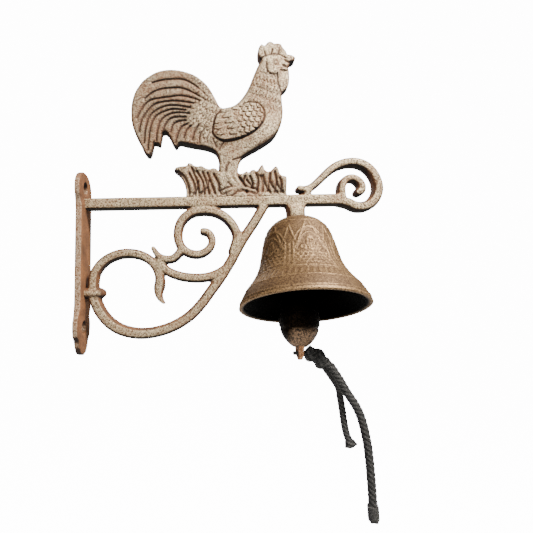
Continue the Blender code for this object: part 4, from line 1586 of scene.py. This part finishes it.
@dataclass
class Clapper:
    """The clapper: shank with its eye, cast weight and the coppery eye for the cord."""

    x: float = 177.5
    lean: float = 1.9
    hang_z: float = -7.0
    shank_r: float = 2.6
    weight_r: float = 16.2
    weight_top: float = -30.0
    weight_bottom: float = -77.2
    tab_hole_z: float = -81.2
    tab_hole_r: float = 3.2
    tab_half_x: float = 2.2
    tab_half_y: float = 5.7

    def build(self, effects: SharedEffects) -> list[bpy.types.Object]:
        """The clapper's three pieces.

        Args:
            effects: The shader groups that the finishes share.

        Returns:
            The new pieces.
        """
        rust = DarkMetalFinish("rusty_iron", (0.010, 0.006, 0.004), (0.12, 0.075, 0.045), 0.45, 0.50, 0.55)
        cast = DarkMetalFinish("weight_cast_iron", (0.020, 0.010, 0.005), (0.36, 0.215, 0.115), 0.5, 0.42,
                               depth=1.0, shaded=True)
        copper = DarkMetalFinish("copper_wash", (0.24, 0.095, 0.035), (0.66, 0.34, 0.165), 0.6, 0.42, 0.25)
        dark = rust.build(effects)
        hardware = Hardware()
        shaft = lathe("shaft", [(0, -10.6), (1.6, -11.0), (self.shank_r, -12.4), (self.shank_r, -27.0),
                                (3.4, -29.5), (3.6, -30.4), (0, -30.4)], (self.x, 0, 0), 28)
        shank = joined("clapper_shank", [shaft, hardware.ring("eye", -8.0)])
        weight = self.weight()
        eye = self.cord_eye()
        for piece, skin, node, slot in ((shank, dark, "clapper_shank", "dark_steel"),
                                        (weight, cast.build(effects), "clapper_weight", "cast_iron"),
                                        (eye, copper.build(effects), "cord_eye", "copper")):
            self.hang(piece)
            piece.data.materials.clear()
            piece.data.materials.append(skin)
            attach(piece, Body.CLAPPER.value)
            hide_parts(node)
        return [shank, weight, eye]

    def hang(self, piece: bpy.types.Object) -> None:
        """Leans an upright piece about the link that it hangs from."""
        place = Matrix.Translation((self.x * MM, 0, self.hang_z * MM))
        piece.data.transform(place @ Matrix.Rotation(math.radians(self.lean), 4, "Y") @ place.inverted())

    def weight(self) -> bpy.types.Object:
        """The pear-shaped weight with the seam that its mould left.

        Returns:
            The new piece.
        """
        upper = [(0, self.weight_top), (4.6, -30.1), (6.6, -31.4), (9.6, -35.5), (13.2, -42.0), (15.4, -49.5)]
        lower = [(self.weight_r, -56.0), (16.0, -60.0), (14.9, -64.0), (13.2, -67.6), (11.2, -70.6),
                 (8.8, -73.4), (6.0, -75.8), (2.6, -77.0)]
        rows = smooth_path(upper[1:] + lower, 1.4)

        def uneven(angle: np.ndarray, height: np.ndarray) -> np.ndarray:
            """Hand-filed unevenness and two seams down the sides.

            Args:
                angle: Angle round the axis.
                height: Height along the axis.

            Returns:
                Extra radius.
            """
            seam = np.exp(-((np.cos(angle)) / 0.05) ** 2)
            step = 0.9 * np.exp(-((height + 61.5) / 0.9) ** 2)
            return (0.14 * np.sin(3 * angle + height * 0.21) + 0.10 * np.sin(7 * angle - height * 0.34)
                    + 0.3 * seam - step)

        made = lathe("clapper_weight", [(0, -30.0), *[(p.x, p.y) for p in rows], (0, self.weight_bottom)],
                     (self.x, 0, 0), 72, uneven)
        points = coordinates(made)
        # Painted shade: the weight's top, which hangs inside the bell, and its left side are marked to go
        # near black.
        left = np.clip((self.x - 7.5 - points[:, 0]) / 4, 0, 1)
        set_mask(made, "painted_shade", np.clip(np.clip((points[:, 2] + 63.0) / 3, 0, 1) + left, 0, 0.96))
        return made

    def cord_eye(self) -> bpy.types.Object:
        """The flat eye under the weight, melted from a tab and bored for the cord.

        Returns:
            The new piece.
        """
        centre = self.x
        bottom = -86.6
        outline = [(-self.tab_half_y - 1.5, -74.6), (-self.tab_half_y, self.tab_hole_z)]
        outline += [(-self.tab_half_y * math.cos(math.radians(d)),
                     self.tab_hole_z + (bottom - self.tab_hole_z) * math.sin(math.radians(d)))
                    for d in range(15, 166, 15)]
        outline += [(self.tab_half_y, self.tab_hole_z), (self.tab_half_y + 1.5, -74.6)]
        tab = slab("cord_eye", outline, self.tab_half_x)
        tab.data.transform(Matrix.Rotation(math.pi / 2, 4, "Z"))
        tab.data.transform(Matrix.Translation((centre * MM, 0, 0)))
        count = 28
        points = [(x, self.tab_hole_r * math.cos(2 * math.pi * k / count),
                   self.tab_hole_z + self.tab_hole_r * math.sin(2 * math.pi * k / count))
                  for x in (centre - 6, centre + 6) for k in range(count)]
        faces = [(k, (k + 1) % count, count + (k + 1) % count, count + k) for k in range(count)]
        faces += [tuple(range(count)), tuple(range(count, 2 * count))]
        drill = mesh_object("drill", points, faces)
        cut = tab.modifiers.new("hole", "BOOLEAN")
        cut.operation = "DIFFERENCE"
        cut.object = drill
        applied(tab)
        bpy.data.objects.remove(drill)
        cast_skin_mesh(tab, 0.35, 4)
        points = coordinates(tab)
        taper = 1 - 0.35 * np.clip((self.tab_hole_z + 1.5 - points[:, 2]) / 6, 0, 1)
        points[:, 0] = centre + (points[:, 0] - centre) * taper
        set_coordinates(tab, points)
        return tab


# ---------------------------------------------------------------- cord


@dataclass
class PullCord:
    """The rope: its loop through the clapper's eye, knot, long pull cord, short tail and whipped end."""

    radius: float = 3.6
    tail_radius: float = 2.9
    strands: int = 4
    pitch: float = 16.0
    route: tuple[Point3, ...] = (
        (197.0, 0.8, -90.2), (199.9, 0.0, -93.2), (202.4, 0.0, -97.2), (206.1, 0.0, -103.5),
        (211.1, 0.0, -112.9), (216.6, 0.0, -121.9), (219.9, 0.0, -129.2), (222.1, 0.0, -137.2),
        (223.7, 0.0, -146.3), (224.7, 0.0, -154.5), (225.2, 0.0, -164.2), (225.4, 0.0, -173.0),
        (225.5, 0.0, -181.8), (225.5, 0.0, -190.5), (225.4, 0.0, -196.8), (225.3, 0.0, -200.0))
    tail: tuple[Point3, ...] = (
        (195.4, 6.0, -92.0), (197.6, 7.2, -95.2), (202.6, 8.2, -102.5), (207.2, 8.2, -110.5),
        (208.0, 7.8, -117.5), (208.8, 7.0, -127.5), (209.4, 6.2, -137.5), (210.6, 5.8, -146.2),
        (213.6, 5.4, -155.0))
    loop: tuple[Point3, ...] = (
        (185.5, 1.0, -82.4), (180.2, 0.3, -81.3), (178.4, 0.0, -81.2), (174.0, 0.0, -81.2),
        (172.7, 1.0, -81.3), (172.2, 4.2, -81.6), (172.7, 7.4, -82.0), (174.4, 8.9, -82.4),
        (177.4, 8.8, -82.8), (180.0, 8.0, -83.0), (185.0, 5.4, -84.2))

    def rope(self, name: str, route: Sequence[Point3], radius: Callable[[float], float],
             pitch: float) -> tuple[bpy.types.Object, list[Point3], float]:
        """A twisted rope along a route.

        Args:
            name: The piece's name.
            route: The route's own points.
            radius: Radius at a distance along.
            pitch: Length of one whole turn of a strand.

        Returns:
            The rope, its middle line in metres and its length in metres.
        """
        path = smooth_path(route, 0.8)
        sides = 30
        crown: list[float] = []

        def section(gone: float, angle: float) -> float:
            """Radius of the strands' outline.

            Args:
                gone: Distance along the rope.
                angle: Angle round the axis.

            Returns:
                The radius there.
            """
            phase = self.strands * (angle + 2 * math.pi * gone / pitch)
            lobe = abs(math.cos(phase / 2))
            crown.append(lobe)
            return radius(gone) * (0.80 + 0.20 * lobe ** 0.8)

        points, faces = sweep(path, section, sides)
        made = mesh_object(name, points, faces)
        set_mask(made, "relief", np.array(crown) ** 1.8)
        length = sum((b - a).length for a, b in zip(path, path[1:]))
        self.unwrap(made, sides, length / (len(path) - 1), radius(0))
        return made, [tuple(p * MM) for p in path], length * MM

    @staticmethod
    def unwrap(obj: bpy.types.Object, sides: int, step: float, radius: float) -> None:
        """Lays a map on a rope whose first axis crosses the yarns, for their fine lines."""
        layer = obj.data.uv_layers.new(name="rope")
        for face in obj.data.polygons:
            places = {v % sides for v in face.vertices}
            wraps = 0 in places and sides - 1 in places
            for corner, vertex in zip(face.loop_indices, face.vertices):
                ring, k = divmod(vertex, sides)
                turn = k / sides + (1.0 if wraps and k == 0 else 0.0)
                twisted = turn * 2 * math.pi * radius
                layer.data[corner].uv = (twisted - 0.75 * ring * step, ring * step)

    def tail_radius_at(self, gone: float) -> float:
        """The short tail's radius, which swells where its end has frayed."""
        return self.tail_radius * (1 + 0.75 * min(1.0, max(0.0, (gone - 62) / 5)))

    def knot(self) -> bpy.types.Object:
        """The overhand knot: turns of rope pulled tight round the cords that run through it.

        Returns:
            The new piece.
        """
        start, end = Vector((182.4, 2.6, -80.2)), Vector((196.0, 2.6, -90.4))
        axis = (end - start).normalized()
        side = axis.cross(Vector((0, 1, 0))).normalized()
        other = axis.cross(side)
        turns, count = 1.7, 40
        route = []
        for i in range(count + 1):
            t = i / count
            a = 2 * math.pi * turns * t + 0.9
            swell = 3.7 * math.sin(math.pi * (0.10 + 0.80 * t)) ** 0.5
            outward = side * math.cos(a) + other * math.sin(a)
            route.append(tuple(start + (end - start) * t + outward * swell))
        wrap = self.rope("wrap", route, lambda s: 4.0, 13.0)[0]
        inner = [tuple(start + (end - start) * t) for t in (-0.05, 0.3, 0.7, 1.05)]
        core = self.rope("core", inner, lambda s: 5.4, 14.0)[0]
        return joined("cord_knot", [wrap, core])

    def whipping(self) -> bpy.types.Object:
        """The rope's bound end: turns of twine over its last stretch and the cut strands under it.

        Returns:
            The new piece.
        """
        x, top, bottom = 225.3, -197.2, -206.6
        turns = 9
        twine = []
        for i in range(turns * 18 + 1):
            a = 2 * math.pi * i / 18
            height = top + (bottom - top) * i / (turns * 18)
            twine.append((x + 3.75 * math.cos(a), 3.75 * math.sin(a), height))
        winding = mesh_object("twine", *sweep([Vector(p) for p in twine], lambda s, a: 0.62, 8))
        core = lathe("core", [(0, -198.0), (3.4, -198.0), (3.5, -206.4), (3.9, -207.6), (3.5, -208.8),
                              (1.6, -209.0), (0, -208.6)], (x, 0, 0), 36,
                     lambda a, z: np.where(z < -205, 0.55 * np.cos(5 * a), 0.0) + 0.15 * np.cos(11 * a))
        made = joined("cord_end_knot", [winding, core])
        set_mask(made, "relief", np.full(len(made.data.vertices), 0.75))
        made.data.uv_layers.new(name="rope")
        made.data.shade_smooth()
        return made

    def build(self, effects: SharedEffects) -> list[bpy.types.Object]:
        """Every piece of the cord.

        Args:
            effects: The shader groups that the finishes share.

        Returns:
            The new pieces.
        """
        skin = RopeFinish("charcoal_rope").build(effects)
        knot = self.knot()
        loop = self.rope("cord_loop", self.loop, lambda s: 1.6, 8.0)[0]
        whipping = self.whipping()
        long_cord, long_path, long_length = self.rope(
            "pull_cord", self.route, lambda s: self.radius * (1.0 - 0.04 * min(s / 110, 1)), self.pitch)
        short, short_path, short_length = self.rope("cord_short_tail", self.tail, self.tail_radius_at, 13.0)
        for piece, node in ((loop, "cord_loop"), (knot, "cord_knot"), (whipping, "cord_end_knot"),
                            (long_cord, "pull_cord"), (short, "cord_short_tail")):
            piece.data.materials.clear()
            piece.data.materials.append(skin)
            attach(piece, Body.CORD.value)
            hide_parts(node)
        return [loop, knot, long_cord, short, whipping]


# ---------------------------------------------------------------- room, light and camera


@dataclass
class Studio:
    """The pale floor, the soft lights and the camera."""

    eye: Point3 = (0.0994, -0.300, -0.0409)
    yaw: float = 1.887
    pitch: float = 6.576
    roll: float = 0.0278
    focal: float = 370.0
    frame_width: float = 533.0
    slide: Point2 = (51.5, -4.5)
    floor_z: float = -0.60
    floor_half: float = 5.0
    middle: Point3 = (0.14, 0.0, 0.02)
    seen_strength: float = 14.0
    room_strength: float = 0.17
    lamps: tuple[tuple[str, Point3, float, float, Colour], ...] = (
        ("key", (0.88, -0.66, 1.05), 0.32, 62.0, (1.0, 0.97, 0.92)),
        ("fill", (-0.5, -1.1, 0.35), 0.9, 6.0, (0.99, 0.99, 1.0)),
        ("rim", (-0.2, 0.9, 0.9), 0.8, 11.0, (1.0, 1.0, 1.0)))

    def camera(self) -> bpy.types.Object:
        """The camera, a little below the bell's middle and looking slightly up.

        Returns:
            The camera.
        """
        a, b = math.radians(self.yaw), math.radians(self.pitch)
        forward = Vector((math.sin(a) * math.cos(b), math.cos(a) * math.cos(b), math.sin(b)))
        level = Vector((math.cos(a), -math.sin(a), 0))
        upright = level.cross(forward)
        c, s = math.cos(self.roll), math.sin(self.roll)
        right, up = level * c - upright * s, level * s + upright * c
        data = bpy.data.cameras.new("camera")
        data.lens = self.focal * data.sensor_width / self.frame_width
        data.shift_x = self.slide[0] / self.frame_width
        data.shift_y = self.slide[1] / self.frame_width
        data.clip_start = 0.01
        made = bpy.data.objects.new("camera", data)
        bpy.context.scene.collection.objects.link(made)
        made.matrix_world = Matrix((
            (right.x, up.x, -forward.x, self.eye[0]), (right.y, up.y, -forward.y, self.eye[1]),
            (right.z, up.z, -forward.z, self.eye[2]), (0, 0, 0, 1)))
        bpy.context.scene.camera = made
        return made

    def lamp(self, name: str, place: Point3, size: float, power: float, tint: Colour) -> None:
        """A soft square light that looks at the object's middle.

        Args:
            name: The name to give it.
            place: Where it stands.
            size: Its side in metres.
            power: Its power in watts.
            tint: Its colour.
        """
        data = bpy.data.lights.new(name, "AREA")
        data.size = size
        data.energy = power
        data.color = tint
        made = bpy.data.objects.new(name, data)
        bpy.context.scene.collection.objects.link(made)
        made.location = place
        made.rotation_euler = (Vector(self.middle) - Vector(place)).to_track_quat("-Z", "Y").to_euler()

    def floor(self) -> bpy.types.Object:
        """A pale floor that sweeps up behind the object.

        Returns:
            The floor.
        """
        depth, rise, bend = 3.0, 3.2, 1.2
        points = []
        line = [(-4.0, self.floor_z), (depth - bend, self.floor_z)]
        line += [(depth - bend + bend * math.sin(math.radians(d)),
                  self.floor_z + bend - bend * math.cos(math.radians(d))) for d in range(10, 91, 10)]
        line.append((depth, rise))
        for y, z in line:
            points += [(-self.floor_half / MM, y / MM, z / MM), (self.floor_half / MM, y / MM, z / MM)]
        faces = [(2 * i, 2 * i + 1, 2 * i + 3, 2 * i + 2) for i in range(len(line) - 1)]
        made = mesh_object("floor", points, faces)
        skin, nodes, shader = new_material("pale_floor")
        shader.inputs["Emission Color"].default_value = (1.0, 1.0, 1.0, 1.0)
        seen = nodes.add("ShaderNodeLightPath").outputs["Is Camera Ray"]
        nodes.put(shader.inputs["Emission Strength"], nodes.math("MULTIPLY", seen, self.seen_strength))
        place = nodes.add("ShaderNodeTexCoord").outputs["Object"]
        tone = nodes.mix(nodes.noise(6.0, 3.0, place), (0.60, 0.60, 0.60), (0.64, 0.64, 0.64))
        nodes.put(shader.inputs["Base Color"], tone)
        shader.inputs["Roughness"].default_value = 0.9
        made.data.materials.append(skin)
        return made

    def build(self) -> None:
        """Sets the floor, lights and camera up."""
        self.floor()
        self.camera()
        for name, place, size, power, tint in self.lamps:
            self.lamp(name, place, size, power, tint)
        world = bpy.data.worlds.new("soft_room")
        world.use_nodes = True
        sky = world.node_tree.nodes["Background"]
        sky.inputs["Color"].default_value = (1.0, 1.0, 1.0, 1.0)
        nodes = Nodes(world.node_tree)
        seen = nodes.add("ShaderNodeLightPath").outputs["Is Camera Ray"]
        nodes.put(sky.inputs["Strength"], nodes.ramp(seen, 0.0, 1.0, self.room_strength, self.seen_strength))
        bpy.context.scene.world = world


def main() -> None:
    """Builds every piece in order and reports it."""
    logging.basicConfig(level=logging.INFO, format="%(name)s: %(message)s")
    effects = SharedEffects()
    Studio().build()
    makers = (PullCord(), Scrollwork(), WallPlate(), Rooster(), GrassTuft(), Bell(), Hardware(), Clapper())
    for maker in makers:
        made = maker.build(effects)
        for piece in made if isinstance(made, list) else [made]:
            LOG.info("%s: %d faces", piece.name, len(piece.data.polygons))


if __name__ == "__main__":
    main()
